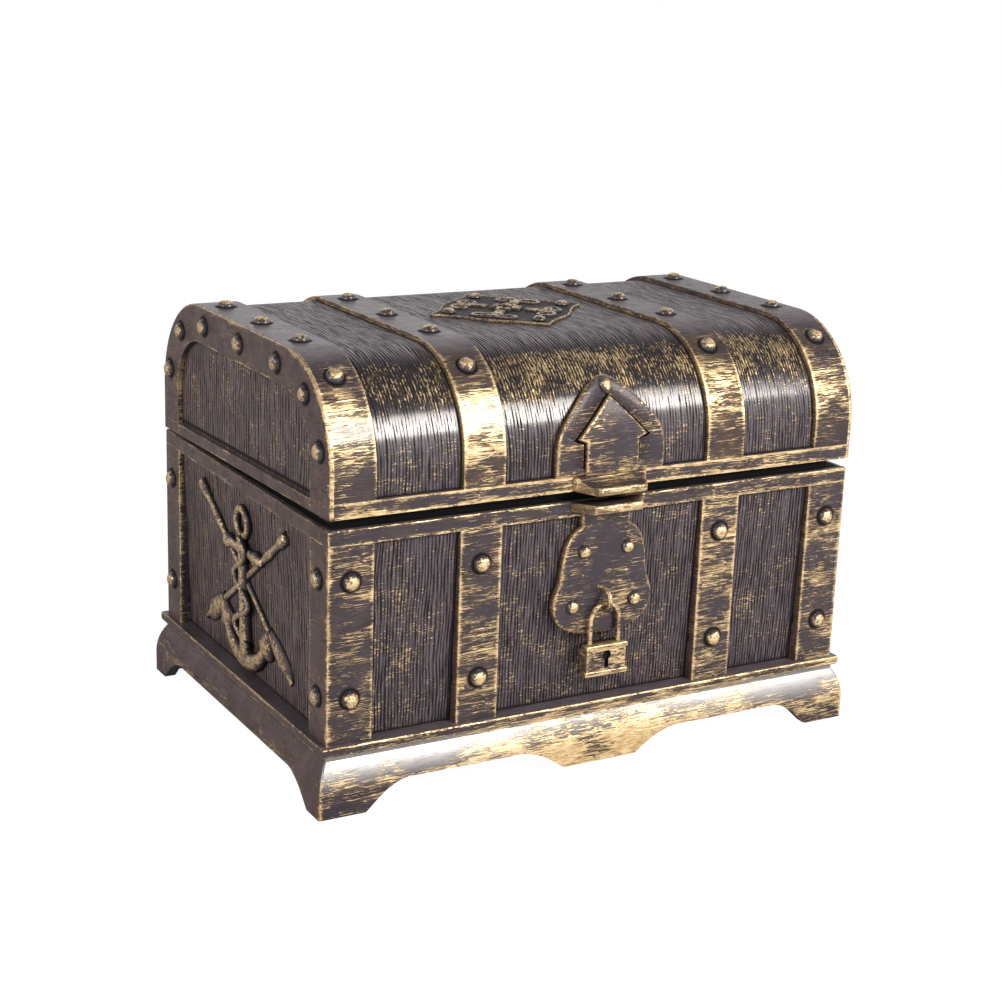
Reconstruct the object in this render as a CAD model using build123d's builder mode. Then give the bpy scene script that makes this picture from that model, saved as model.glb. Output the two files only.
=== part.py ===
from build123d import *
from math import asin, cos, degrees, radians, sin
import os

# A treasure chest box: a moulded chest with a flat-topped, round-shouldered lid,
# rivetted straps, a plinth on four bracket feet, a hasp with a small hanging padlock
# and two hinges at the back.
# Millimetres. The origin is on the floor under the middle of the chest,
# +X points to the right end, +Y to the back and +Z up.

# Chest body, measured over the straps
body_width = 220.0
body_depth = 154.0
rim_top = 102.4
rim_height = 5.6
panel_inset_top = 1.8
panel_inset_bottom = 4.5
wall = 4.2
floor_thickness = 3.0
inner_corner_radius = 3.0
lip_thickness = 1.6
lip_height = 4.6
strap_edge_round = 0.5
arris_round = 1.1

# Straps, shared by the chest and the lid
corner_strap_width = 17.7
strap_width = 16.7
strap_centre = 50.95
stile_width = 14.5

# Plinth: bead, skirt and feet
base_top = 25.3
bead_height = 3.4
bead_reach = 2.2
bead_round = 0.7
skirt_reach = 4.0
skirt_straight = 8.0
skirt_neck_reach = 0.4
skirt_neck_height = 19.9
skirt_wall = 4.5
skirt_arris_round = 0.8
ledge_width = 5.0
ledge_thickness = 1.6
arch_height = 10.4
front_foot_length = 18.0
side_foot_length = 10.5
foot_curve_length = 16.5
pendant_length = 31.0
pendant_curve_length = 18.5
pendant_clearance = 2.0
foot_curve_shares = ((0.0, 0.0), (0.22, 0.33), (0.42, 0.61), (0.66, 0.84), (0.85, 0.96), (1.0, 1.0))

# Lid, measured over the straps. Its lower edge slopes, so the gap under it widens to the front.
lid_overhang = 1.0
lid_rise = 56.1
lid_upright = 14.5
lid_front_gap = 4.1
lid_rear_gap = 0.9
lid_wall = 2.0
lid_strap_thickness = 1.8
lid_rail_height = 5.5
end_rail_height = 4.3
end_stile_width = 15.5
end_top_rail = 14.1
stop_gap = 0.3
stop_height = 2.0
stop_overlap = 0.8

# Rivets
rivet_radius = 3.2
rivet_height = 2.4
body_rivet_drop = 12.8
body_rivet_lift = 16.4
lid_rivet_inset = 6.5
shoulder_rivet_angle = 54.5
end_rivet_lift = 7.5

# Hasp: shield on the chest, arch plate and tabs
shield_half_width = 21.2
shield_drop = 4.1
shield_lift = 26.0
shield_proud = 1.0
shield_shares = (
    (0.47, 1.0), (0.71, 0.895), (0.82, 0.74), (0.86, 0.57), (0.95, 0.42), (1.0, 0.29), (0.93, 0.165),
    (0.74, 0.07), (0.42, 0.015),
)
neck_half_width = 10.4
keeper_height = 3.2
keeper_gap = 0.1
keeper_reach = 9.0
tab_base_half = 15.5
tab_front_half = 10.0
tab_reach = 10.0
tab_front_height = 2.9
tab_edge_round = 0.5
hasp_rivet_radius = 2.5
hasp_rivet_height = 1.9
hasp_rivet_shares = ((0.434, 0.775), (0.623, 0.285))
plate_half_width = 22.7
plate_upright = 11.5
plate_rise = 22.5
plate_proud = 0.4
plate_curve_shares = ((0.95, 0.155), (0.82, 0.37), (0.63, 0.578), (0.436, 0.773), (0.25, 0.9), (0.1, 0.972))
inner_half_width = 14.5
inner_foot_half_width = 11.0
inner_upright = 13.0
inner_rise = 13.5
inner_proud = 1.3
drop_angle = 34.5
drop_length = 6.4
drop_width = 4.2
drop_thickness = 1.4
drop_round = 1.0

# Staple and padlock
staple_lift = 13.0
staple_rise = 3.65
staple_straight = 1.0
staple_wire = 1.1
shackle_wire = 0.95
shackle_half_span = 6.1
hang_clearance = 0.3
case_width = 17.2
case_height = 11.5
case_thickness = 5.0
case_drop = 16.3
case_round = 0.6
keyhole_radius = 1.8
keyhole_slot_width = 1.8
keyhole_slot_length = 4.8
keyhole_depth = 1.2

# Hinges at the back
hinge_rise = 0.7
barrel_radius = 3.3
barrel_setback = 0.7
pin_radius = 1.2
pin_clearance = 0.05
knuckle_gap = 0.4
knuckle_clearance = 0.5
leaf_width = 16.0
leaf_thickness = 1.6
leaf_length = 12.0
leaf_corner = 2.0
web_height = 2.3
screw_head_radius = 1.7
screw_head_height = 1.0
screw_slot_width = 0.5
screw_slot_depth = 0.45
screw_spacing = 8.0
screw_offset = 4.2

# Ornament on the lid's top and the chest's ends
emblem_reach = 33.0
emblem_outline = ((0, 1.0), (8, 0.87), (20, 0.785), (45, 0.76), (70, 0.785), (82, 0.87))
emblem_thickness = 1.0
emblem_stud_circle = 25.0
emblem_stud_radius = 2.5
emblem_stud_height = 1.7
emblem_boss_radius = 6.5
emblem_boss_height = 2.2
anchor_drop = 9.8
anchor_lift = 3.7
anchor_shank_width = 4.6
anchor_ring_radius = 5.6
anchor_ring_width = 2.3
anchor_stock_length = 26.0
anchor_stock_width = 4.0
anchor_stock_drop = 9.0
anchor_arm_radius = 20.0
anchor_arm_width = 5.2
anchor_arm_angle = 62.0
anchor_fluke_length = 12.0
anchor_fluke_width = 10.0

# Cuts run this far past what they cut
overrun = 5.0

half_width = body_width / 2
half_depth = body_depth / 2
panel_top = rim_top - rim_height
bead_bottom = base_top - bead_height
floor_bottom = arch_height + ledge_thickness
floor_top = floor_bottom + floor_thickness
lip_top = rim_top + lip_height
lid_half_depth = half_depth + lid_overhang
lid_front_edge = rim_top + lid_front_gap
lid_rear_edge = rim_top + lid_rear_gap
lid_top = rim_top + lid_rise
lid_panel_depth = lid_half_depth - lid_strap_thickness
lid_panel_half_width = half_width - lid_strap_thickness
lid_arc_base = lid_front_edge + lid_upright
lid_corner_radius = lid_top - lid_arc_base
lid_arc_depth = lid_half_depth - lid_corner_radius
lid_rivet_row = lid_arc_depth - lid_rivet_inset
corner_strap_centre = half_width - corner_strap_width / 2
shield_front = half_depth + shield_proud
shield_top = panel_top - shield_drop
shield_bottom = base_top + shield_lift
staple_centre = shield_bottom + staple_lift
case_top = staple_centre - case_drop
hinge_axis_depth = lid_half_depth + barrel_radius + barrel_setback
hinge_axis_height = rim_top + hinge_rise

os.makedirs("parts", exist_ok=True)


def save(builder, name):
    """Label a finished piece and write it under its own name."""
    builder.part.label = name
    export_step(builder.part, f"parts/{name}.step")


def panel_inset(height):
    """How far the chest's panels lie behind the strap faces at a height."""
    fall = (panel_top - height) / (panel_top - base_top)
    return panel_inset_top + (panel_inset_bottom - panel_inset_top) * fall


def lid_edge(depth):
    """Height of the lid's sloping lower edge at a place between front and back."""
    slope = (lid_front_edge - lid_rear_edge) / (2 * lid_half_depth)
    return (lid_front_edge + lid_rear_edge) / 2 - slope * depth


def side_name(side):
    """Left or right for a sign along X."""
    return "left" if side < 0 else "right"


def face_name(face):
    """Front or rear for a sign along Y."""
    return "front" if face < 0 else "rear"


# Chest shell
# The drafted block that the panels lie on. Straps and bands are cut back to it.
with BuildPart() as panel_block:
    for height in (floor_bottom, panel_top):
        with BuildSketch(Plane.XY.offset(height)):
            inset = panel_inset(height)
            Rectangle(body_width - 2 * inset, body_depth - 2 * inset)
    loft(ruled=True)
    with BuildSketch(Plane.XY.offset(panel_top)):
        Rectangle(body_width - 2 * panel_inset_top, body_depth - 2 * panel_inset_top)
    extrude(amount=rim_height)

with BuildPart() as chest_shell:
    add(panel_block.part)
    inner_width = body_width - 2 * (panel_inset_top + wall)
    inner_depth = body_depth - 2 * (panel_inset_top + wall)
    with BuildSketch(Plane.XY.offset(rim_top)):
        RectangleRounded(
            inner_width + 2 * lip_thickness,
            inner_depth + 2 * lip_thickness,
            inner_corner_radius + lip_thickness,
        )
    extrude(amount=lip_height)
    taper = panel_inset(floor_top) - panel_inset_top
    for height, draw_in in ((floor_top, taper), (lip_top, 0)):
        with BuildSketch(Plane.XY.offset(height)):
            RectangleRounded(inner_width - 2 * draw_in, inner_depth - 2 * draw_in, inner_corner_radius)
    loft(ruled=True, mode=Mode.SUBTRACT)
save(chest_shell, "chest_shell")

# Rim band round the top of the chest
with BuildPart() as chest_rim_band:
    with BuildSketch(Plane.XY.offset(panel_top)):
        Rectangle(body_width, body_depth)
    extrude(amount=rim_height)
    fillet(chest_rim_band.edges().filter_by(Axis.Z), arris_round)
    fillet(chest_rim_band.edges().group_by(Axis.Z)[-1], strap_edge_round)
    add(panel_block.part, mode=Mode.SUBTRACT)
save(chest_rim_band, "chest_rim_band")


# Straps on the chest
def chest_strap(centre, width, depth, arris):
    """A vertical strap cut back to the panels; arris is the radius of an outer corner, if it has one."""
    with BuildPart() as strap:
        with BuildSketch(Plane.XY.offset(base_top)):
            with Locations(centre):
                Rectangle(width, depth)
        extrude(amount=panel_top - base_top)
        corners = strap.edges().filter_by(Axis.Z).sort_by_distance((0, 0, base_top))
        if arris:
            fillet(corners[-1:], arris)
            fillet(corners[1:3], strap_edge_round)
        else:
            fillet(corners[2:], strap_edge_round)
        add(panel_block.part, mode=Mode.SUBTRACT)
    return strap


for side in (-1, 1):
    for face in (-1, 1):
        corner = (side * corner_strap_centre, face * (half_depth - stile_width / 2))
        place = (side * strap_centre, face * (half_depth - stile_width / 2))
        save(
            chest_strap(corner, corner_strap_width, stile_width, arris_round),
            f"corner_strap_{face_name(face)}_{side_name(side)}",
        )
        save(chest_strap(place, strap_width, stile_width, 0), f"{face_name(face)}_strap_{side_name(side)}")

# Plinth
# The bead is a square-edged moulding that the straps stand on.
with BuildPart() as base_bead:
    with BuildSketch(Plane.XY.offset(bead_bottom)):
        Rectangle(body_width + 2 * bead_reach, body_depth + 2 * bead_reach)
    extrude(amount=bead_height)
    fillet(base_bead.edges(), bead_round)
    add(panel_block.part, mode=Mode.SUBTRACT)
save(base_bead, "base_bead")


def skirt_section(reach):
    """Section of the skirt and all inside it: upright at the floor, then rounding in to a neck."""
    neck = reach - skirt_reach + skirt_neck_reach
    with BuildSketch() as section:
        with BuildLine():
            face = Line((reach, 0), (reach, skirt_straight))
            bulge = TangentArc(face @ 1, (neck, skirt_neck_height), tangent=face % 1)
            Polyline(bulge @ 1, (neck, bead_bottom), (0, bead_bottom), (0, 0), face @ 0)
        make_face()
        mirror(about=Plane.YZ)
    return section.sketch


def foot_curve(low, high):
    """The bracket foot's curve from a low point to a high point, level at the top."""
    points = []
    for along_share, up_share in foot_curve_shares:
        points.append((low[0] + (high[0] - low[0]) * along_share, low[1] + (high[1] - low[1]) * up_share))
    return Spline(*points)


with BuildPart() as base_skirt:
    skirt_half_width = half_width + skirt_reach
    skirt_half_depth = half_depth + skirt_reach
    with BuildSketch(Plane.XZ):
        add(skirt_section(skirt_half_width))
    extrude(amount=skirt_half_depth, both=True)
    with BuildSketch(Plane.YZ):
        add(skirt_section(skirt_half_depth))
    extrude(amount=skirt_half_width, both=True, mode=Mode.INTERSECT)
    corner_edges = []
    for edge in base_skirt.edges():
        if abs(edge.center().X) > half_width and abs(edge.center().Y) > half_depth:
            corner_edges.append(edge)
    fillet(corner_edges, skirt_arris_round)
    # Hollow underneath, and the ledge that carries the chest's floor
    with BuildSketch(Plane.XY):
        Rectangle(2 * (skirt_half_width - skirt_wall), 2 * (skirt_half_depth - skirt_wall))
    extrude(amount=arch_height, mode=Mode.SUBTRACT)
    with BuildSketch(Plane.XY.offset(arch_height)):
        floor_inset = 2 * (panel_inset(floor_bottom) + ledge_width)
        Rectangle(body_width - floor_inset, body_depth - floor_inset)
    extrude(amount=ledge_thickness, mode=Mode.SUBTRACT)
    add(panel_block.part, mode=Mode.SUBTRACT)
    # Openings between the feet at the front and back, with the pendant in the middle
    with BuildSketch(Plane.XZ):
        with BuildLine():
            foot = skirt_half_width - front_foot_length
            cove = foot_curve((foot, 0), (foot - foot_curve_length, arch_height))
            pendant_half = pendant_length / 2
            pendant = foot_curve(
                (pendant_half, pendant_clearance), (pendant_half + pendant_curve_length, arch_height)
            )
            Line(cove @ 1, pendant @ 1)
            Polyline(pendant @ 0, (0, pendant_clearance), (0, 0), cove @ 0)
        make_face()
        mirror(about=Plane.YZ)
    extrude(amount=skirt_half_depth + overrun, both=True, mode=Mode.SUBTRACT)
    # Openings between the feet at the ends
    with BuildSketch(Plane.YZ):
        with BuildLine():
            foot = skirt_half_depth - side_foot_length
            cove = foot_curve((foot, 0), (foot - foot_curve_length, arch_height))
            Polyline(cove @ 1, (0, arch_height), (0, 0), cove @ 0)
        make_face()
        mirror(about=Plane.YZ)
    extrude(amount=skirt_half_width + overrun, both=True, mode=Mode.SUBTRACT)
save(base_skirt, "base_skirt")


# Lid
def lid_section(inset, rise):
    """End section of the lid, drawn in by inset, its lower edge raised by rise."""
    depth = lid_half_depth - inset
    with BuildSketch() as section:
        with BuildLine():
            front = Line((-depth, lid_edge(-depth) + rise), (-depth, lid_arc_base))
            shoulder = TangentArc(front @ 1, (-lid_arc_depth, lid_top - inset), tangent=front % 1)
            crown = Line(shoulder @ 1, (lid_arc_depth, lid_top - inset))
            back_shoulder = TangentArc(crown @ 1, (depth, lid_arc_base), tangent=crown % 1)
            back = Line(back_shoulder @ 1, (depth, lid_edge(depth) + rise))
            Line(back @ 1, front @ 0)
        make_face()
    return section.sketch


with BuildPart() as lid_block:
    with BuildSketch(Plane.YZ):
        add(lid_section(lid_strap_thickness, 0))
    extrude(amount=lid_panel_half_width, both=True)

with BuildPart() as lid_shell:
    add(lid_block.part)
    with BuildSketch(Plane.YZ):
        add(lid_section(lid_strap_thickness + lid_wall, -overrun))
    extrude(amount=lid_panel_half_width - lid_wall, both=True, mode=Mode.SUBTRACT)
    # The stop inside, which rests over the chest's lip when the lid is down
    with BuildSketch(Plane.XY.offset(lip_top + stop_gap)):
        Rectangle(2 * lid_panel_half_width - lid_wall, 2 * lid_panel_depth - lid_wall)
        Rectangle(inner_width - 2 * stop_overlap, inner_depth - 2 * stop_overlap, mode=Mode.SUBTRACT)
    extrude(amount=stop_height)
save(lid_shell, "lid_shell")


def lid_rail(face):
    """The band along the lid's lower edge at the front or back."""
    outer = face * lid_half_depth
    inner = face * lid_panel_depth
    with BuildPart() as rail:
        with BuildSketch(Plane.YZ):
            with BuildLine():
                Polyline(
                    (outer, lid_edge(outer)),
                    (outer, lid_edge(outer) + lid_rail_height),
                    (inner, lid_edge(inner) + lid_rail_height),
                    (inner, lid_edge(inner)),
                    close=True,
                )
            make_face()
        extrude(amount=lid_panel_half_width, both=True)
    return rail


for face in (-1, 1):
    save(lid_rail(face), f"lid_{face_name(face)}_rail")


def lid_strap(low, high):
    """A strap over the lid between two places along X, from the front rail to the rear rail."""
    with BuildPart() as strap:
        with BuildSketch(Plane.YZ.offset(low)):
            add(lid_section(0, lid_rail_height))
        extrude(amount=high - low)
        if low > -lid_panel_half_width:
            fillet(strap.faces().sort_by(Axis.X)[0].edges().sort_by(Axis.Z)[1:], strap_edge_round)
        if high < lid_panel_half_width:
            fillet(strap.faces().sort_by(Axis.X)[-1].edges().sort_by(Axis.Z)[1:], strap_edge_round)
        add(lid_block.part, mode=Mode.SUBTRACT)
    return strap


corner_inner = half_width - corner_strap_width
save(lid_strap(-lid_panel_half_width, -corner_inner), "lid_corner_strap_left")
save(lid_strap(corner_inner, lid_panel_half_width), "lid_corner_strap_right")
for side in (-1, 1):
    centre = side * strap_centre
    save(lid_strap(centre - strap_width / 2, centre + strap_width / 2), f"lid_strap_{side_name(side)}")


def end_window():
    """The opening in an end frame that shows the lid's end panel."""
    half = lid_half_depth - end_stile_width
    top = lid_top - end_top_rail
    radius = lid_corner_radius - (end_stile_width + end_top_rail) / 2
    with BuildSketch() as window:
        with BuildLine():
            front = Line((-half, lid_edge(-half) + end_rail_height), (-half, top - radius))
            shoulder = TangentArc(front @ 1, (radius - half, top), tangent=front % 1)
            crown = Line(shoulder @ 1, (half - radius, top))
            back_shoulder = TangentArc(crown @ 1, (half, top - radius), tangent=crown % 1)
            back = Line(back_shoulder @ 1, (half, lid_edge(half) + end_rail_height))
            Line(back @ 1, front @ 0)
        make_face()
    return window.sketch


def lid_end_frame(side):
    """The frame round the lid's end panel."""
    with BuildPart() as frame:
        with BuildSketch(Plane.YZ.offset(side * lid_panel_half_width)):
            add(lid_section(0, 0))
        extrude(amount=side * lid_strap_thickness)
        rim = frame.faces().sort_by(Axis.X)[0 if side < 0 else -1]
        fillet(rim.edges().sort_by(Axis.Z)[1:], arris_round)
        with BuildSketch(Plane.YZ.offset(side * lid_panel_half_width)):
            add(end_window())
        extrude(amount=side * lid_strap_thickness, mode=Mode.SUBTRACT)
    return frame


for side in (-1, 1):
    save(lid_end_frame(side), f"lid_end_frame_{side_name(side)}")


# Rivets
def seat(point, out):
    """A plane at a point on a surface, facing out of it."""
    return Plane(origin=point, z_dir=out)


def domes(seats, radius, height):
    """A group of domed rivet heads, one on each seat."""
    sphere_radius = (radius**2 + height**2) / (2 * height)
    rim_latitude = degrees(asin((sphere_radius - height) / sphere_radius))
    with BuildPart() as heads:
        with Locations(*seats):
            Sphere(sphere_radius, arc_size1=rim_latitude, align=(Align.CENTER, Align.CENTER, Align.MIN))
    return heads


strap_places = (-corner_strap_centre, -strap_centre, strap_centre, corner_strap_centre)
body_rivet_heights = (base_top + body_rivet_lift, panel_top - body_rivet_drop)
for face in (-1, 1):
    seats = []
    for along in strap_places:
        for height in body_rivet_heights:
            seats.append(seat((along, face * half_depth, height), (0, face, 0)))
    save(domes(seats, rivet_radius, rivet_height), f"{face_name(face)}_rivets")

for side in (-1, 1):
    seats = []
    for face in (-1, 1):
        for height in body_rivet_heights:
            seats.append(seat((side * half_width, face * (half_depth - stile_width / 2), height), (side, 0, 0)))
    save(domes(seats, rivet_radius, rivet_height), f"{side_name(side)}_rivets")

top_seats = []
for along in strap_places:
    for across in (-lid_rivet_row, 0, lid_rivet_row):
        top_seats.append(seat((along, across, lid_top), (0, 0, 1)))
save(domes(top_seats, rivet_radius, rivet_height), "lid_top_rivets")


def shoulder_point(face, angle, proud):
    """A point on the lid's round shoulder and the way out of the surface there."""
    out = (0, face * cos(radians(angle)), sin(radians(angle)))
    radius = lid_corner_radius + proud
    return (face * lid_arc_depth + out[1] * radius, lid_arc_base + out[2] * radius), out


for face in (-1, 1):
    (across, height), out = shoulder_point(face, shoulder_rivet_angle, 0)
    seats = []
    for along in strap_places:
        seats.append(seat((along, across, height), out))
    save(domes(seats, rivet_radius, rivet_height), f"lid_{face_name(face)}_rivets")

for side in (-1, 1):
    middle_radius = lid_corner_radius - (end_stile_width + end_top_rail) / 4
    corner_rivet_depth = lid_arc_depth + middle_radius * cos(radians(shoulder_rivet_angle))
    corner_rivet_height = lid_arc_base + middle_radius * sin(radians(shoulder_rivet_angle))
    top_rivet_height = lid_top - end_top_rail / 2
    places = [(0, top_rivet_height)]
    for face in (-1, 1):
        places.append((face * (lid_half_depth - end_stile_width / 2), lid_arc_base + end_rivet_lift))
        places.append((face * corner_rivet_depth, corner_rivet_height))
        places.append((face * lid_rivet_row, top_rivet_height))
    seats = []
    for across, height in places:
        seats.append(seat((side * half_width, across, height), (side, 0, 0)))
    save(domes(seats, rivet_radius, rivet_height), f"lid_{side_name(side)}_rivets")

# Hasp on the chest
# The shield's plate reaches up over the rim band to the keeper.
with BuildPart() as hasp_shield:
    keeper_bottom = rim_top - keeper_gap - keeper_height
    shield_height = shield_top - shield_bottom
    outline = []
    for half_share, height_share in shield_shares:
        outline.append((shield_half_width * half_share, shield_bottom + shield_height * height_share))
    with BuildSketch(Plane.XZ.offset(shield_front)):
        with BuildLine():
            edge = Spline(*outline, (0, shield_bottom), tangents=((1, 0), (-1, 0)))
            Polyline(
                edge @ 0,
                (neck_half_width, shield_top),
                (neck_half_width, keeper_bottom),
                (0, keeper_bottom),
                edge @ 1,
            )
        make_face()
        mirror(about=Plane.YZ)
    extrude(amount=-stile_width)
    add(panel_block.part, mode=Mode.SUBTRACT)
    with BuildSketch(Plane.XY.offset(panel_top)):
        Rectangle(body_width, body_depth)
    extrude(amount=rim_height, mode=Mode.SUBTRACT)
save(hasp_shield, "hasp_shield")


def tab_plan(back, reach):
    """Plan of a hasp tab: wide at its root and narrower at the front."""
    with BuildSketch() as plan:
        with BuildLine():
            Polyline(
                (-tab_base_half, -back),
                (tab_base_half, -back),
                (tab_front_half, -back - reach),
                (-tab_front_half, -back - reach),
                close=True,
            )
        make_face()
    return plan.sketch


with BuildPart() as hasp_keeper:
    with BuildSketch(Plane.XY.offset(keeper_bottom)):
        add(tab_plan(half_depth, keeper_reach))
    extrude(amount=keeper_height)
    fillet(hasp_keeper.edges().group_by(Axis.Y)[0], tab_edge_round)
save(hasp_keeper, "hasp_keeper")

# Latch tab on the lid, thicker at its root
with BuildPart() as latch_tab:
    with BuildSketch(Plane.XY.offset(lid_edge(-lid_half_depth))):
        add(tab_plan(lid_half_depth, tab_reach))
    extrude(amount=lid_rail_height)
    with BuildSketch(Plane.YZ):
        with BuildLine():
            root = lid_edge(-lid_half_depth)
            Polyline(
                (-lid_half_depth, root),
                (-lid_half_depth, root + lid_rail_height),
                (-lid_half_depth - tab_reach, root + tab_front_height),
                (-lid_half_depth - tab_reach, root),
                close=True,
            )
        make_face()
    extrude(amount=tab_base_half, both=True, mode=Mode.INTERSECT)
    fillet(latch_tab.edges().group_by(Axis.Y)[0], tab_edge_round)
save(latch_tab, "latch_tab")

hasp_seats = []
for half_share, height_share in hasp_rivet_shares:
    for side in (-1, 1):
        along = side * shield_half_width * half_share
        height = shield_bottom + shield_height * height_share
        hasp_seats.append(seat((along, -shield_front, height), (0, -1, 0)))
save(domes(hasp_seats, hasp_rivet_radius, hasp_rivet_height), "hasp_rivets")


# Pointed arch plates on the lid's front shoulder
def shoulder_plate(outline, inner_proud_by, outer_proud_by):
    """A plate that follows the lid's round front, seen as an outline from the front."""
    with BuildPart() as under:
        with BuildSketch(Plane.YZ):
            add(lid_section(-inner_proud_by, lid_rail_height))
        extrude(amount=half_width, both=True)
    with BuildPart() as plate:
        with BuildSketch(Plane.XZ.offset(lid_arc_depth)):
            add(outline)
        extrude(amount=lid_corner_radius + outer_proud_by + overrun)
        with BuildSketch(Plane.YZ):
            add(lid_section(-outer_proud_by, lid_rail_height))
        extrude(amount=half_width, both=True, mode=Mode.INTERSECT)
        add(under.part, mode=Mode.SUBTRACT)
    return plate


def arch_outline():
    """Pointed arch: upright sides, then curves that meet at the apex."""
    foot = lid_edge(-lid_half_depth) + lid_rail_height
    spring = foot + plate_upright
    points = []
    for half_share, height_share in plate_curve_shares:
        points.append((plate_half_width * half_share, spring + plate_rise * height_share))
    with BuildSketch() as outline:
        with BuildLine():
            side = Line((plate_half_width, foot), (plate_half_width, spring))
            curve = Spline(side @ 1, *points, (0, spring + plate_rise))
            Polyline(curve @ 1, (0, foot), side @ 0)
        make_face()
        mirror(about=Plane.YZ)
    return outline.sketch


def inner_outline():
    """The raised inner plate: a pointed house on a narrower foot."""
    foot = lid_edge(-lid_half_depth) + lid_rail_height
    shoulder = foot + inner_upright
    with BuildSketch() as outline:
        with BuildLine():
            Polyline(
                (0, foot),
                (inner_foot_half_width, foot),
                (inner_foot_half_width, shoulder),
                (inner_half_width, shoulder),
                (0, shoulder + inner_rise),
                close=True,
            )
        make_face()
        mirror(about=Plane.YZ)
    return outline.sketch


save(shoulder_plate(arch_outline(), -lid_strap_thickness, plate_proud), "arch_plate")
save(shoulder_plate(inner_outline(), plate_proud, plate_proud + inner_proud), "arch_inner_plate")

drop_radius = (drop_length**2 + drop_width**2) / (4 * drop_width)
with BuildPart() as arch_drop:
    (across, height), out = shoulder_point(-1, drop_angle, plate_proud)
    with BuildSketch(Plane(origin=(0, across, height), x_dir=(1, 0, 0), z_dir=out)):
        with BuildLine():
            drop_arc = RadiusArc((0, drop_length / 2), (0, -drop_length / 2), drop_radius)
            Line(drop_arc @ 1, drop_arc @ 0)
        make_face()
        mirror(about=Plane.YZ)
    extrude(amount=drop_thickness)
    fillet(arch_drop.faces().sort_by(Axis.Y)[0].edges(), drop_round)
save(arch_drop, "arch_drop")

# Staple on the shield
with BuildPart() as staple:
    low_leg = staple_centre - staple_rise
    high_leg = staple_centre + staple_rise
    bend_start = -shield_front - staple_straight
    with BuildLine(Plane.YZ) as staple_path:
        lower = Line((-shield_front, low_leg), (bend_start, low_leg))
        bend = TangentArc(lower @ 1, (bend_start, high_leg), tangent=lower % 1)
        Line(bend @ 1, (-shield_front, high_leg))
    with BuildSketch(Plane(origin=(0, -shield_front, low_leg), z_dir=(0, -1, 0))):
        Circle(staple_wire)
    sweep(path=staple_path.wire())
save(staple, "staple")

# Padlock
# The shackle hangs in the staple, between its bar and the shield.
shackle_top = staple_centre - staple_rise + staple_wire + hang_clearance + shackle_wire
bar_inside = staple_straight + staple_rise - staple_wire
padlock_depth = shield_front + bar_inside / 2

with BuildPart() as padlock_shackle:
    bow = shackle_top - shackle_half_span
    with BuildLine(Plane.XZ.offset(padlock_depth)) as shackle_path:
        left_leg = Line((-shackle_half_span, case_top), (-shackle_half_span, bow))
        arc = TangentArc(left_leg @ 1, (shackle_half_span, bow), tangent=left_leg % 1)
        Line(arc @ 1, (shackle_half_span, case_top))
    with BuildSketch(Plane(origin=(-shackle_half_span, -padlock_depth, case_top))):
        Circle(shackle_wire)
    sweep(path=shackle_path.wire())
save(padlock_shackle, "padlock_shackle")

with BuildPart() as padlock_case:
    case_front = padlock_depth + case_thickness / 2
    case_middle = case_top - case_height / 2
    with BuildSketch(Plane.XZ.offset(case_front)):
        with Locations((0, case_middle)):
            Rectangle(case_width, case_height)
    extrude(amount=-case_thickness)
    fillet(padlock_case.edges().filter_by(Axis.Y), case_round)
    fillet(padlock_case.faces().sort_by(Axis.Y)[0].edges(), case_round)
    with BuildSketch(Plane.XZ.offset(case_front)):
        with Locations((0, case_middle + keyhole_radius)):
            Circle(keyhole_radius)
        with Locations((0, case_middle + keyhole_radius - keyhole_slot_length / 2)):
            Rectangle(keyhole_slot_width, keyhole_slot_length)
    extrude(amount=-keyhole_depth, mode=Mode.SUBTRACT)
save(padlock_case, "padlock_case")


# Hinges
# Two outer knuckles belong to the chest's leaf and the middle one to the lid's.
knuckle_length = (leaf_width - 2 * knuckle_gap) / 3
outer_knuckle = knuckle_length + knuckle_gap


def knuckle_row(centre, offsets, radius, extra):
    """Cylinders round the hinge axis, one at each offset from the hinge's middle."""
    length = knuckle_length + extra
    with BuildPart() as row:
        for offset in offsets:
            with BuildSketch(Plane.YZ.offset(centre + offset - length / 2)):
                with Locations((hinge_axis_depth, hinge_axis_height)):
                    Circle(radius)
            extrude(amount=length)
    return row.part


def web_row(centre, offsets, face_depth, low):
    """Blocks that tie the knuckles to their leaf."""
    with BuildPart() as row:
        for offset in offsets:
            with BuildSketch(Plane.YZ.offset(centre + offset - knuckle_length / 2)):
                with Locations(((face_depth + hinge_axis_depth) / 2, low + web_height / 2)):
                    Rectangle(hinge_axis_depth - face_depth, web_height)
            extrude(amount=knuckle_length)
    return row.part


def hinge_leaf(centre, face_depth, low, own, other, web_low):
    """A leaf against the back, its knuckles, and room for the other leaf's knuckles."""
    with BuildPart() as leaf:
        with BuildSketch(Plane.XZ.offset(-face_depth)):
            with Locations((centre, low + leaf_length / 2)):
                RectangleRounded(leaf_width, leaf_length, leaf_corner)
        extrude(amount=-leaf_thickness)
        clear = barrel_radius + knuckle_clearance
        add(knuckle_row(centre, other, clear, 2 * knuckle_gap), mode=Mode.SUBTRACT)
        add(web_row(centre, own, face_depth, web_low))
        add(knuckle_row(centre, own, barrel_radius, 0))
        with BuildSketch(Plane.YZ.offset(centre - leaf_width / 2 - overrun)):
            with Locations((hinge_axis_depth, hinge_axis_height)):
                Circle(pin_radius + pin_clearance)
        extrude(amount=leaf_width + 2 * overrun, mode=Mode.SUBTRACT)
    return leaf


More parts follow.
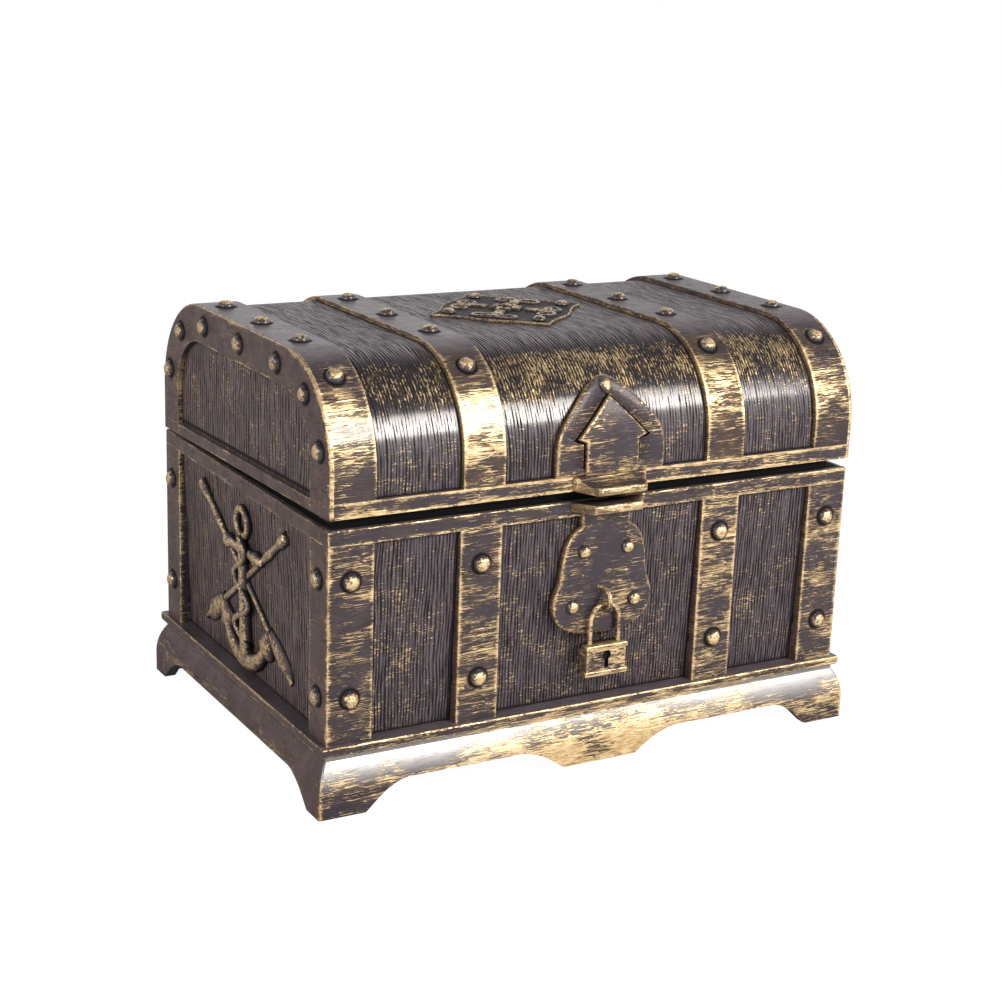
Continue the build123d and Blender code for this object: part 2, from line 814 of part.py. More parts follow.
def hinge_screws(centres, face_depth, height):
    """Slotted screw heads in a row on each leaf."""
    head_face = face_depth + leaf_thickness
    with BuildPart() as heads:
        for centre in centres:
            for along in (centre - screw_spacing / 2, centre + screw_spacing / 2):
                with BuildSketch(Plane.XZ.offset(-head_face)):
                    with Locations((along, height)):
                        Circle(screw_head_radius)
                extrude(amount=-screw_head_height)
                with BuildSketch(Plane.XZ.offset(-head_face - screw_head_height)):
                    with Locations((along, height)):
                        Rectangle(2 * screw_head_radius, screw_slot_width, rotation=45)
                extrude(amount=screw_slot_depth, mode=Mode.SUBTRACT)
    return heads


outer_offsets = (-outer_knuckle, outer_knuckle)
lower_leaf_top = hinge_axis_height - web_height
lower_leaf_bottom = lower_leaf_top - leaf_length
upper_leaf_bottom = lid_edge(lid_half_depth) + web_height
for side in (-1, 1):
    centre = side * strap_centre
    lower = hinge_leaf(
        centre, half_depth, lower_leaf_bottom, outer_offsets, (0,), hinge_axis_height - barrel_radius
    )
    save(lower, f"hinge_lower_leaf_{side_name(side)}")
    upper = hinge_leaf(
        centre,
        lid_half_depth,
        upper_leaf_bottom,
        (0,),
        outer_offsets,
        hinge_axis_height + barrel_radius - web_height,
    )
    save(upper, f"hinge_upper_leaf_{side_name(side)}")
    with BuildPart() as hinge_pin:
        with BuildSketch(Plane.YZ.offset(centre - leaf_width / 2)):
            with Locations((hinge_axis_depth, hinge_axis_height)):
                Circle(pin_radius)
        extrude(amount=leaf_width)
    save(hinge_pin, f"hinge_pin_{side_name(side)}")

centres = (-strap_centre, strap_centre)
save(hinge_screws(centres, half_depth, lower_leaf_bottom + screw_offset), "hinge_lower_screws")
save(
    hinge_screws(centres, lid_half_depth, upper_leaf_bottom + leaf_length - screw_offset),
    "hinge_upper_screws",
)

# Ornament on the lid's top
panel_face = lid_top - lid_strap_thickness
with BuildPart() as emblem_plate:
    with BuildSketch(Plane.XY.offset(panel_face)):
        with BuildLine():
            rim_points = []
            for quarter in range(4):
                for turn, share in emblem_outline:
                    angle = radians(quarter * 90 + turn)
                    reach = emblem_reach * share
                    rim_points.append((reach * cos(angle), reach * sin(angle)))
            Spline(*rim_points, periodic=True)
        make_face()
    extrude(amount=emblem_thickness)
save(emblem_plate, "emblem_plate")

emblem_face = panel_face + emblem_thickness
stud_seats = []
for turn in range(4):
    angle = radians(turn * 90)
    point = (emblem_stud_circle * cos(angle), emblem_stud_circle * sin(angle), emblem_face)
    stud_seats.append(seat(point, (0, 0, 1)))
save(domes(stud_seats, emblem_stud_radius, emblem_stud_height), "emblem_studs")
save(domes([seat((0, 0, emblem_face), (0, 0, 1))], emblem_boss_radius, emblem_boss_height), "emblem_boss")


# Anchor relief on each end
def anchor_outline():
    """An anchor seen flat: ring, stock, shank, curved arms and two flukes."""
    top = panel_top - anchor_drop
    bottom = base_top + anchor_lift
    ring_centre = top - anchor_ring_radius
    arm_centre = bottom + anchor_arm_radius
    with BuildSketch() as outline:
        with Locations((0, ring_centre)):
            Circle(anchor_ring_radius)
        shank_top = ring_centre - anchor_ring_radius + anchor_ring_width
        with Locations((0, (shank_top + bottom + anchor_arm_width) / 2)):
            Rectangle(anchor_shank_width, shank_top - bottom - anchor_arm_width)
        with Locations((0, ring_centre - anchor_stock_drop)):
            SlotOverall(anchor_stock_length, anchor_stock_width)
        with BuildLine():
            start = -90 - anchor_arm_angle
            outer = CenterArc((0, arm_centre), anchor_arm_radius, start, 2 * anchor_arm_angle)
            inner = CenterArc(
                (0, arm_centre), anchor_arm_radius - anchor_arm_width, start, 2 * anchor_arm_angle
            )
            Line(outer @ 0, inner @ 0)
            Line(outer @ 1, inner @ 1)
        make_face()
        tip_radius = anchor_arm_radius - anchor_arm_width / 2
        for side in (-1, 1):
            angle = radians(-90 + side * anchor_arm_angle)
            root = (tip_radius * cos(angle), arm_centre + tip_radius * sin(angle))
            with Locations(Location((root[0], root[1], 0), (0, 0, side * anchor_arm_angle))):
                Triangle(c=anchor_fluke_width, a=anchor_fluke_length, b=anchor_fluke_length)
        with Locations((0, ring_centre)):
            Circle(anchor_ring_radius - anchor_ring_width, mode=Mode.SUBTRACT)
    return outline.sketch


for side in (-1, 1):
    with BuildPart() as anchor:
        with BuildSketch(Plane.YZ.offset(side * half_width)):
            add(anchor_outline())
        extrude(amount=-side * (panel_inset_bottom + wall))
        add(panel_block.part, mode=Mode.SUBTRACT)
    save(anchor, f"anchor_{side_name(side)}")
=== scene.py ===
# %% [markdown]
# # A treasure chest box, dressed in Blender
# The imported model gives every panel, strap, rivet and hinge at its true size. This lesson puts a
# camera where the photographer stood, lights the box softly, and gives each surface the finish of
# a dark moulded chest that somebody has rubbed with bronze paint.

import math
import random
from functools import reduce

import bpy
from mathutils import Matrix, Vector


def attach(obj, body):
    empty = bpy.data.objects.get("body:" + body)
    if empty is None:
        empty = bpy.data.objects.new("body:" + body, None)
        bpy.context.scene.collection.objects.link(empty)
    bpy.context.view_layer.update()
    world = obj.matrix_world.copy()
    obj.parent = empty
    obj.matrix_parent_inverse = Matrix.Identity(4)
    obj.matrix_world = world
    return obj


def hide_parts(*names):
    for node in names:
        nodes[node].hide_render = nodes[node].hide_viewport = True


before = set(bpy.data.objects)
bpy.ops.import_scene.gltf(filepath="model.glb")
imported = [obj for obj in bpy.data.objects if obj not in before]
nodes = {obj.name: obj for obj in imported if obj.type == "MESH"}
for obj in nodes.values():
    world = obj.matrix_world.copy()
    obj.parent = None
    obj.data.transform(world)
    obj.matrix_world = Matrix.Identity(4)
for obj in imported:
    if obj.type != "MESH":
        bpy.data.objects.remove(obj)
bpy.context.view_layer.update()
MM = 0.001

# %% [markdown]
# ## Camera
# The photograph was taken from the front left and a little above. A camera can be aimed by eye,
# with a tracking constraint, or by writing its three axes. Here the angles, the tilt and the
# focal length were solved from the box's own corners, so the axes are written out.

# %% Camera
AZIMUTH, ELEVATION, TILT = (math.radians(a) for a in (-30.09, 15.95, -2.02))
FOCAL_PIXELS, PHOTO_PIXELS, SENSOR_MM = 1951.87, 1002, 36
CAMERA_PLACE = Vector((-0.37135, -0.64223, 0.2927))

forward = Vector((
    -math.sin(AZIMUTH) * math.cos(ELEVATION),
    math.cos(AZIMUTH) * math.cos(ELEVATION),
    -math.sin(ELEVATION),
))
level_right = forward.cross(Vector((0, 0, 1))).normalized()
level_down = forward.cross(level_right)
right = math.cos(TILT) * level_right + math.sin(TILT) * level_down
down = math.cos(TILT) * level_down - math.sin(TILT) * level_right


def added(name, data):
    """A new object in the scene."""
    made = bpy.data.objects.new(name, data)
    bpy.context.scene.collection.objects.link(made)
    return made


camera_data = bpy.data.cameras.new("photo_camera")
camera_data.sensor_width = SENSOR_MM
camera_data.lens = FOCAL_PIXELS / PHOTO_PIXELS * SENSOR_MM
camera_data.clip_start = 0.01
camera = added("photo_camera", camera_data)
facing = Matrix((right, -down, -forward)).transposed().to_4x4()
camera.matrix_world = Matrix.Translation(CAMERA_PLACE) @ facing
bpy.context.scene.camera = camera
bpy.context.scene.view_settings.view_transform = "Standard"
print("lens in mm:", round(camera_data.lens, 2))

# %% [markdown]
# ## Shader arithmetic
# A paint recipe is mostly sums: how near is this point to an edge, is it in a streak, is it both.
# Nodes can be wired by hand for each sum, but that hides the idea. This small class wraps one
# socket, so that the recipe can be written as plain Python and the nodes are made behind it.

# %% A socket that can be added and multiplied
class Field:
    """One socket of a node tree. Arithmetic on it adds Math nodes, or Vector Math for vectors."""

    def __init__(self, socket):
        self.socket = socket
        self.tree = socket.id_data

    def node(self, kind, settings, inputs, output=0):
        """Add a node: its type, its settings, then the values or links of its sockets."""
        made = self.tree.nodes.new(kind)
        for name, value in settings.items():
            setattr(made, name, value)
        for key, value in inputs.items():
            if isinstance(value, Field):
                self.tree.links.new(value.socket, made.inputs[key])
            else:
                made.inputs[key].default_value = value
        return Field(made.outputs[output])

    def math(self, operation, *values):
        """A Math node, or a Vector Math node where any value is a vector."""
        vector = any(isinstance(v, tuple) or (isinstance(v, Field) and v.is_vector()) for v in values)
        kind = "ShaderNodeVectorMath" if vector else "ShaderNodeMath"
        return self.node(kind, {"operation": operation}, dict(enumerate(values)))

    def is_vector(self):
        return self.socket.type in ("VECTOR", "RGBA")

    def __add__(self, other):
        return self.math("ADD", self, other)

    def __radd__(self, other):
        return self.math("ADD", other, self)

    def __sub__(self, other):
        return self.math("SUBTRACT", self, other)

    def __rsub__(self, other):
        return self.math("SUBTRACT", other, self)

    def __mul__(self, other):
        return self.math("MULTIPLY", self, other)

    def __rmul__(self, other):
        return self.math("MULTIPLY", other, self)

    def __abs__(self):
        return self.math("ABSOLUTE", self)

    def least(self, other):
        return self.math("MINIMUM", self, other)

    def most(self, other):
        return self.math("MAXIMUM", self, other)

    def length(self):
        """How long a vector is."""
        return self.node("ShaderNodeVectorMath", {"operation": "LENGTH"}, {0: self}, "Value")

    def parts(self):
        """The x, y and z of a vector."""
        x = self.node("ShaderNodeSeparateXYZ", {}, {0: self})
        return [Field(out) for out in x.socket.node.outputs]

    def joined(self, y, z):
        """A vector with this number as its x."""
        return self.node("ShaderNodeCombineXYZ", {}, {0: self, 1: y, 2: z})

    def ramp(self, low, high):
        """A soft step: 0 at low and 1 at high, and the other way round where low is larger."""
        sockets = {0: self, 1: low, 2: high, 3: 0.0, 4: 1.0}
        return self.node("ShaderNodeMapRange", {"interpolation_type": "SMOOTHSTEP"}, sockets)

    def choose(self, where_zero, where_one):
        """Mix two numbers or two colours, with this field as the share of the second."""
        if isinstance(where_zero, float) or (isinstance(where_zero, Field) and not where_zero.is_vector()):
            return where_zero + self * (where_one - where_zero)
        return self.node(
            "ShaderNodeMix", {"data_type": "RGBA"}, {0: self, 6: opaque(where_zero), 7: opaque(where_one)}, 2
        )

    def noise(self, detail=2.0, rough=0.5):
        """Noise at this place, where one unit of the place is about the size of one blob."""
        return self.node(
            "ShaderNodeTexNoise", {}, {"Vector": self, "Scale": 1.0, "Detail": detail, "Roughness": rough}
        )

    def as_bump(self, strength):
        """A normal tilted by this field, read as a height in millimetres."""
        return self.node(
            "ShaderNodeBump", {}, {"Strength": strength, "Distance": MM, "Height": self}, "Normal"
        )


def opaque(colour):
    """A colour with its alpha, as a colour socket wants it."""
    return (*colour, 1.0) if isinstance(colour, tuple) else colour


# %% [markdown]
# Every recipe starts the same way: an empty material with a Principled shader, and the place on
# the piece in millimetres. The place comes from object coordinates, because each piece of the
# model keeps its real position in its mesh. A streak then runs on from one strap to the next.

# %% A new finish
class Finish:
    """A material with its shader, the place on the piece in mm and the way the surface faces."""

    def __init__(self, name):
        self.material = bpy.data.materials.new(name)
        self.material.use_nodes = True
        tree = self.material.node_tree
        self.shader = tree.nodes["Principled BSDF"]
        coordinates = tree.nodes.new("ShaderNodeTexCoord")
        self.place = Field(coordinates.outputs["Object"]) * (1 / MM, 1 / MM, 1 / MM)
        self.x, self.y, self.z = self.place.parts()
        self.wide, self.deep = abs(self.x), abs(self.y)
        facing_x, facing_y, facing_z = Field(coordinates.outputs["Normal"]).parts()
        self.end = abs(facing_x).ramp(0.6, 0.85)
        self.up = facing_z.ramp(0.86, 0.98)
        self.under = facing_z.ramp(-0.3, -0.8)

    def attribute(self, name):
        """A number stored on the mesh's vertices."""
        return self.place.node("ShaderNodeAttribute", {"attribute_name": name}, {}, "Fac")

    def wire(self, sockets):
        """Link fields to the shader's sockets, or set them to a plain number."""
        for name, field in sockets.items():
            if isinstance(field, Field):
                field.tree.links.new(field.socket, self.shader.inputs[name])
            else:
                self.shader.inputs[name].default_value = field

    def mottled(self, per_mm, detail=2.0, rough=0.5):
        """Noise over the piece; per_mm is how many blobs lie in a millimetre, for all three ways or each."""
        per_mm = per_mm if isinstance(per_mm, tuple) else (per_mm, per_mm, per_mm)
        return (self.place * per_mm).noise(detail, rough)

    def brushed(self, long_mm, fine_mm):
        """The place, stretched along the brush: along X on the front, back and top, along Y on the ends."""
        along, across = 1 / long_mm, 1 / fine_mm
        return (self.x * self.end.choose(along, across)).joined(
            self.y * self.end.choose(across, along), self.z * across
        )

    def grained(self, long_mm, fine_mm):
        """The place, stretched along the grain, which runs square to the brush on every side."""
        return self.brushed(fine_mm, long_mm)


# %% [markdown]
# ## The paint
# The moulding is charcoal plastic with a hint of brown. A nearly dry brush with bronze paint was
# drawn over it, so the bronze sits on edges and high places and breaks into streaks on the flats.
# One mask says how much bronze lies at a point. Colour, shine and roughness all follow that mask.

# %% Colours and the dry-brushed coat
CHARCOAL = (0.029, 0.0215, 0.030)
UMBER = (0.062, 0.038, 0.039)
RUSSET = (0.135, 0.083, 0.070)
DUST = (0.112, 0.092, 0.104)
# A paler dust for upward faces, which is also a painted sheen.
PALE_DUST_AND_SHEEN = (0.185, 0.152, 0.166)
# Near-black, used for painted shade in corners and recesses and for dark paint in the grain.
SHADE_AND_SOOT = (0.003, 0.002, 0.003)
OLD_BRONZE = (0.20, 0.124, 0.052)
BRONZE = (0.50, 0.345, 0.165)
PALE_BRONZE = (0.84, 0.640, 0.370)
COPPER = (0.31, 0.190, 0.112)
WASH = (0.110, 0.066, 0.024)
VARNISH = 0.10


def coat(finish, rub, relief, shade_and_soot=None, dust_and_sheen=None, under_rough=0.36, strength=0.9, gloss=None, wash=None):
    """Bronze over a dark ground. rub is the share of bronze, relief the surface height in mm,
    shade_and_soot the share of near-black, which is painted shade in corners, recesses and at the feet
    of raised parts and dark paint in the grain, dust_and_sheen the share of pale dust, which on upward
    faces is also a painted sheen, gloss the share of varnish, wash the share of thin bronze that tints the
    ground."""
    tone = finish.mottled((0.25, 0.25, 1.3), 3.0, 0.6)
    rich = rub * 0.8 + (tone - 0.5) * 1.6
    bronze = rich.ramp(0.0, 0.55).choose(OLD_BRONZE, rich.ramp(0.45, 1.0).choose(BRONZE, PALE_BRONZE))
    bronze = (finish.end * 0.30).choose(bronze, COPPER)
    cloud = finish.mottled(0.09, 3.0, 0.6)
    haze = cloud.ramp(0.38, 0.75) * 0.55
    ground = finish.end.choose(CHARCOAL, haze.choose(UMBER, RUSSET))
    # Upward faces take a paler colour: pale dust, and also a painted sheen of the bright room seen at a
    # grazing view.
    dust_and_sheen_colour = finish.up.choose(DUST, PALE_DUST_AND_SHEEN)
    ground = (haze * 0.4 + finish.up * 0.4 if dust_and_sheen is None else dust_and_sheen).choose(ground, dust_and_sheen_colour)
    metal = rub * 0.8
    if wash is not None:
        wash = cloud.ramp(0.30, 0.60) * wash
        ground = wash.choose(ground, WASH)
        metal = metal + (1.0 - rub) * wash * 0.5
    gloss = (1.0 - finish.end) * VARNISH if gloss is None else gloss
    # Painted shade and soot: near-black mixed into the ground, rougher and without varnish, where the mask
    # says.
    if shade_and_soot is not None:
        ground = shade_and_soot.choose(ground, SHADE_AND_SOOT)
        under_rough = shade_and_soot * 0.5 + under_rough
        gloss = (1.0 - shade_and_soot) * gloss
    finish.wire({
        "Base Color": rub.choose(ground, bronze),
        "Metallic": metal,
        "Roughness": rub.choose(under_rough, 0.36) + (tone - 0.5) * 0.16,
        "Normal": (relief + rub * 0.08).as_bump(strength),
        "Specular IOR Level": 0.28,
        "Coat Weight": (1.0 - rub * 0.7) * gloss,
        "Coat Roughness": 0.17,
        "Coat IOR": 1.8,
    })
    return finish.material


def nearest_of(value, places):
    """How far the nearest of a few places is."""
    return reduce(Field.least, [abs(value - place) for place in places])


def near(value, places, reach):
    """1 on any of the places, falling to 0 at reach."""
    return nearest_of(value, places).ramp(reach, 0.1)


# %% [markdown]
# The streaks themselves are one noise, stretched along the brush, cut off at a level. A second,
# slow noise moves that level, so that some stretches took more paint than others, and near an
# edge the level drops, so the streaks close up there. Sides that the brush hardly reached, the
# top and the two ends, get a higher level and so less bronze.

# %% Streaks
BODY_HALF_WIDTH, RIGHT_SIDE = 110.0, 60.0


def streaks(finish, amount, edge=0.0, long_mm=8.0, fine_mm=0.34, on_top=0.24, on_ends=0.08):
    """Streaks of bronze, more of them where amount is higher. Levels are shares of the noise."""
    sway = finish.mottled(0.16) - 0.5
    fine = (finish.brushed(long_mm, fine_mm) + sway * 3.0).noise(4.0, 0.70)
    amount = (finish.x.ramp(-BODY_HALF_WIDTH, RIGHT_SIDE) - 0.5) * 0.12 + amount
    patch = finish.mottled((1 / 15, 1 / 15, 1 / 7), 2.0, 0.6)
    level = 0.64 - amount * 0.20 - (patch - 0.5) * 0.50 + finish.up * on_top + finish.end * on_ends
    return (fine - (level - edge * 0.16)).ramp(-0.01, 0.11)


def dents(finish, depth_mm):
    """Shallow unevenness of a hand-worked surface."""
    return finish.mottled(0.22) * depth_mm


# %% [markdown]
# ## Boards
# The panels between the straps are moulded as old boards, with fine upright grain that turns over
# the lid from front to back. Carving each line would need millions of faces for lines a third of a
# millimetre deep, so the grain is a stretched noise that tilts the normal. Bronze caught on a few
# ridges only, where a streak of the brush crossed them. Near-black is painted beside the straps and
# in other corners as painted shade, and into the grain's hollows as dark paint and painted shade.

# %% Board finish
STRAP_EDGES, LINE_MM = (42.6, 59.3, 92.3), 1.25
GLOSS_RISE, BRIGHTER_TO_RIGHT = (118.0, 132.0), (-100.0, 0.0)


def shoulder_gloss(finish):
    """The lid's round shoulders are the glossiest part, so they draw the softbox as a band."""
    return (1.0 - finish.end) * (1.0 - finish.up * 0.7) * (finish.z.ramp(*GLOSS_RISE) * 0.7 + VARNISH)


def boards(name, hollow_of, corners_of, curve_of=None):
    """The grained finish outside, and a smooth dark moulding in the hollow."""
    finish = Finish(name)
    outside = 1.0 - hollow_of(finish)
    finish.end = finish.end * outside
    corners = corners_of(finish)
    grain = finish.grained(8.0, 0.80).noise(3.0, 0.6)
    fibre = finish.grained(22.0, 2.1).noise(2.0, 0.5)
    sway = finish.grained(30.0, 9.0).noise(2.0, 0.5)
    across = finish.end.choose(finish.x, finish.y) * finish.end.choose(1.0 / LINE_MM, 0.6 / LINE_MM)
    wave = across.math("SINE", (across + sway * 2.6) * math.tau) * 0.5 + 0.5
    line = wave * 0.56 + (grain - 0.5) * 1.6 + (fibre - 0.5) * 0.4 + 0.22
    ridge = finish.up.choose(line.ramp(0.35, 0.95), line.ramp(0.42, 0.72))
    touched = finish.brushed(2.6, 0.42).noise(3.0, 0.62)
    patch = finish.mottled((1 / 11, 1 / 11, 1 / 8), 2.0, 0.6)
    level = 0.575 + finish.up * 0.10 + finish.end * 0.005 - (patch - 0.5) * 0.40
    # Painted shade in the corners and near-black in the grain's hollows; pale dust on the ridges, which on
    # the top is also a painted sheen.
    shade_and_soot, dust_and_sheen = corners.most(line.ramp(0.46, 0.12)), ridge * outside
    gloss = (1.0 - finish.end) * VARNISH
    if curve_of:
        bend = curve_of(finish)
        dash = finish.grained(1.9, 0.45).noise(3.0, 0.66)
        touched = bend.choose(touched, dash)
        level = level - bend * (finish.x.ramp(*BRIGHTER_TO_RIGHT) * 0.045 + 0.05)
        # The upper curve is painted darker as painted shade, with less pale dust.
        shade_and_soot, dust_and_sheen = shade_and_soot.most(bend * 0.75), dust_and_sheen * (1.0 - bend * 0.7)
        gloss = shoulder_gloss(finish)
    rub = (touched - level).ramp(0.0, 0.07) * line.ramp(0.45, 0.65)
    smear = (touched - (level + 0.08)).ramp(0.0, 0.12)
    rub = rub.most(smear * 0.9) * outside * (1.0 - corners)
    relief = (line * (finish.up * 0.32 + 0.30) + fibre * 0.3) * outside
    gloss = (1.0 - finish.up * 0.8) * gloss * outside
    return coat(finish, rub, relief, shade_and_soot * outside, dust_and_sheen, 0.33, 1.0, gloss)


# %% Where the hollows and corners of the two shells are
BODY_HALF_DEPTH, CASING, CHEST_FLOOR = 77.0, 5.9, 14.9
BEAD_TOP, RIM_FOOT, POST_EDGE = 25.3, 96.8, 62.5
LID_HALF_DEPTH, LID_TOP, SHOULDER_RADIUS, LID_CASING = 78.0, 158.5, 37.5, 2.8
WINDOW_TOP, WINDOW_RADIUS, RAIL_HEIGHT = 144.4, 22.7, 5.5
LID_EDGE_MIDDLE, LID_EDGE_SLOPE = 104.9, 0.0205
BEND_RISE = 132.0, 144.0


def lid_outline(finish, half=LID_HALF_DEPTH, top=LID_TOP, radius=SHOULDER_RADIUS):
    """Distance outside the lid's end outline, in mm: the distance from a round-cornered box."""
    side = finish.deep - (half - radius)
    rise = finish.z - (top - radius)
    corner = side.most(0.0).joined(rise.most(0.0), 0.0)
    return corner.length() + side.most(rise).least(0.0) - radius


def lid_window(finish, reach):
    """1 on the edge of the sunk field in the lid's ends, falling to 0 at reach."""
    return near(lid_outline(finish, POST_EDGE, WINDOW_TOP, WINDOW_RADIUS), (0.0,), reach)


def lid_lift(finish):
    """Height above the lid's sloping lower edge."""
    return finish.z - (LID_EDGE_MIDDLE - finish.y * LID_EDGE_SLOPE)


def chest_hollow(finish):
    inside = (BODY_HALF_WIDTH - CASING - finish.wide).ramp(-0.1, 0.1)
    inside = inside * (BODY_HALF_DEPTH - CASING - finish.deep).ramp(-0.1, 0.1)
    return inside * (finish.z - CHEST_FLOOR).ramp(-0.1, 0.1)


# Where the chest's boards get painted shade: beside the straps, at the bead and the rim, and on the lip that
# shows in the gap under the lid.
def chest_corners(finish):
    sides = near(finish.wide, STRAP_EDGES, 1.9) * (1.0 - finish.end)
    ends = near(finish.deep, (POST_EDGE,), 1.9) * finish.end
    lip = finish.z.ramp(RIM_FOOT - 0.8, RIM_FOOT)
    return sides.most(ends).most(near(finish.z, (BEAD_TOP, RIM_FOOT), 1.7)).most(lip)


def lid_hollow(finish):
    inside = (BODY_HALF_WIDTH - LID_CASING - finish.wide).ramp(-0.1, 0.1)
    return inside * (lid_outline(finish) + LID_CASING).ramp(0.1, -0.1)


def lid_bend(finish):
    """1 on the upper half of the lid's round shoulders, where the bronze caught on the grain, and where the
    boards are painted darker as painted shade.
    """
    return finish.z.ramp(*BEND_RISE) * (1.0 - finish.up) * (1.0 - finish.end)


# Where the lid's boards get painted shade: beside the straps, round the sunk field in the ends and along the
# rail.
def lid_corners(finish):
    sides = near(finish.wide, STRAP_EDGES, 1.6) * (1.0 - finish.end)
    window = lid_window(finish, 1.9) * finish.end
    return sides.most(window).most(near(lid_lift(finish), (RAIL_HEIGHT,), 1.4))


# %% [markdown]
# ## Straps, bands and rails
# They all share one recipe and differ in how much bronze they took and where their edges lie.
# Blender can find edges with a bevel or an occlusion node, but both trace extra rays for every
# sample. The edges lie at a few known distances from the middle, so a distance in plain numbers
# finds them for nothing. A ring of painted shade round each rivet is found the same way.

# %% Strap finish
def strap_finish(
    name, edge_of, amount, seats_of=None, long_mm=8.0, fine_mm=0.34, dent=0.5, more_of=None,
    gloss_of=None, wash=0.06,
):
    """edge_of gives a finish's nearness to an edge, seats_of its nearness to a rivet."""
    finish = Finish(name)
    edge = edge_of(finish)
    ring = seats_of(finish) if seats_of else 0.0
    broken = finish.mottled(0.7, 4.0, 0.70)
    crest = edge.ramp(0.25, 1.0) * 0.7 + (broken - 0.5) * 2.4 - finish.up * 0.30 - finish.end * 0.20
    if more_of:
        amount = more_of(finish) + amount
    rub = streaks(finish, amount, edge, long_mm, fine_mm).most(crest.ramp(0.45, 0.85))
    rub = rub * (1.0 - finish.under) * (1.0 - ring)
    hewn = finish.brushed(6.0, 0.6).noise(3.0, 0.6)
    # Near-black in the low places of the hewn surface as dark paint, and a ring of painted shade round each
    # rivet, with no bronze in it.
    shade_and_soot = ((0.5 - hewn).ramp(0.0, 0.3) * 0.6).most(ring)
    relief = hewn * 0.22 + dents(finish, dent)
    gloss = gloss_of(finish) if gloss_of else None
    return coat(finish, rub, relief, shade_and_soot, gloss=gloss, wash=(1.0 - finish.up) * wash)


# %% Where the rivets sit
RIVET_COLUMNS, CHEST_RIVET_LEVELS, POST_MIDDLE = (50.95, 101.15), (41.7, 84.0), 69.75
LID_RIVETS = ((0.0, 158.5), (34.0, 158.5), (62.3, 151.5))
FRAME_RIVETS = ((0.0, 151.45), (34.0, 151.45), (70.25, 128.5), (58.0, 145.5))
RING_OUTER, RING_INNER = 4.8, 3.6


def around(offsets):
    """1 beside the nearest of the rivets that the offsets lead to, falling to 0 outside its ring."""
    return reduce(Field.least, [offset.length() for offset in offsets]).ramp(RING_OUTER, RING_INNER)


def chest_rivet_rings(finish):
    front, ends = nearest_of(finish.wide, RIVET_COLUMNS), abs(finish.deep - POST_MIDDLE)
    return around([finish.end.choose(front, ends).joined(nearest_of(finish.z, CHEST_RIVET_LEVELS), 0.0)])


def lid_rivet_rings(finish):
    """These distances are measured in space, because some of the rivets sit on the bend."""
    column = nearest_of(finish.wide, RIVET_COLUMNS)
    return around([column.joined(finish.deep - depth, finish.z - level) for depth, level in LID_RIVETS])


def frame_rivet_rings(finish):
    return around([(finish.deep - depth).joined(finish.z - level, 0.0) for depth, level in FRAME_RIVETS])


# %% Where the edges are
RIM_TOP, BEAD_FOOT, FRAME_FOOT = 102.4, 21.9, 4.3
FEET_HALF_WIDTH, FEET_HALF_DEPTH = 114.0, 81.0
SKIRT_LOW_EDGE, SKIRT_FLOOR, SKIRT_CURVE = (12.5, 10.6), (-4.0, 2.0), (8.0, 15.0)
SKIRT_MIDDLE, UNDER_BEAD, SKIRT_BULGE = (95.0, 15.0), (18.0, 13.0), (9.0, 13.0)
WEAR_RISE, WEAR_FALL = (116.0, 130.0), (154.0, 140.0)


def lid_strap_edges(finish):
    return (near(finish.wide, STRAP_EDGES, 1.9) * 0.8).most(near(finish.wide, (BODY_HALF_WIDTH,), 2.6))


def strap_edges(finish):
    ends = near(finish.deep, (POST_EDGE, BODY_HALF_DEPTH), 2.2) * finish.end
    return (lid_strap_edges(finish) * (1.0 - finish.end)).most(ends)


def rim_edges(finish):
    flat = (near(finish.z, (RIM_FOOT, RIM_TOP), 2.0) * 0.8).most(finish.up * 1.3)
    corner = near(finish.wide, (BODY_HALF_WIDTH,), 2.0) * near(finish.deep, (BODY_HALF_DEPTH,), 2.0)
    return flat.most(corner)


def bead_edges(finish):
    return near(finish.z, (BEAD_FOOT, BEAD_TOP), 1.6) * (1.0 - finish.up)


def skirt_edges(finish):
    corner = near(finish.wide, (FEET_HALF_WIDTH,), 3.0) * near(finish.deep, (FEET_HALF_DEPTH,), 3.0)
    return corner.most(finish.z.ramp(*SKIRT_LOW_EDGE) * finish.z.ramp(*SKIRT_FLOOR) * 0.4)


def skirt_wear(finish):
    """The front of the skirt is worn most near its middle, and least in the hollow under the bead."""
    middle = finish.wide.ramp(*SKIRT_MIDDLE) * (1.0 - finish.end)
    return middle * 0.65 + finish.z.ramp(*UNDER_BEAD) * 0.25 + finish.z.ramp(*SKIRT_BULGE) * 0.30 - 0.15


def skirt_gloss(finish):
    """The upper curve of the skirt is smooth from handling and takes the light in one band."""
    aside = finish.wide.ramp(10.0, RIGHT_SIDE) * 0.6 + 0.4
    return finish.z.ramp(*SKIRT_CURVE) * aside * (1.0 - finish.end)


def shoulder_wear(finish):
    """Hands wore the straps bright where they turn over the lid's shoulders, more so on the left."""
    bend = finish.z.ramp(*WEAR_RISE) * finish.z.ramp(*WEAR_FALL)
    return bend * 0.7 - finish.x.ramp(0.0, RIGHT_SIDE) * 0.36


def strap_gloss(finish):
    return shoulder_gloss(finish) * finish.x.ramp(RIGHT_SIDE, 0.0) * 0.7


def rail_edges(finish):
    return near(lid_lift(finish), (0.0, RAIL_HEIGHT), 1.8)


def end_frame_edges(finish):
    outer = near(lid_outline(finish), (0.0,), 2.2)
    foot = near(lid_lift(finish), (0.0, FRAME_FOOT), 1.2) * 0.8
    return outer.most(lid_window(finish, 1.6) * 0.8).most(foot)


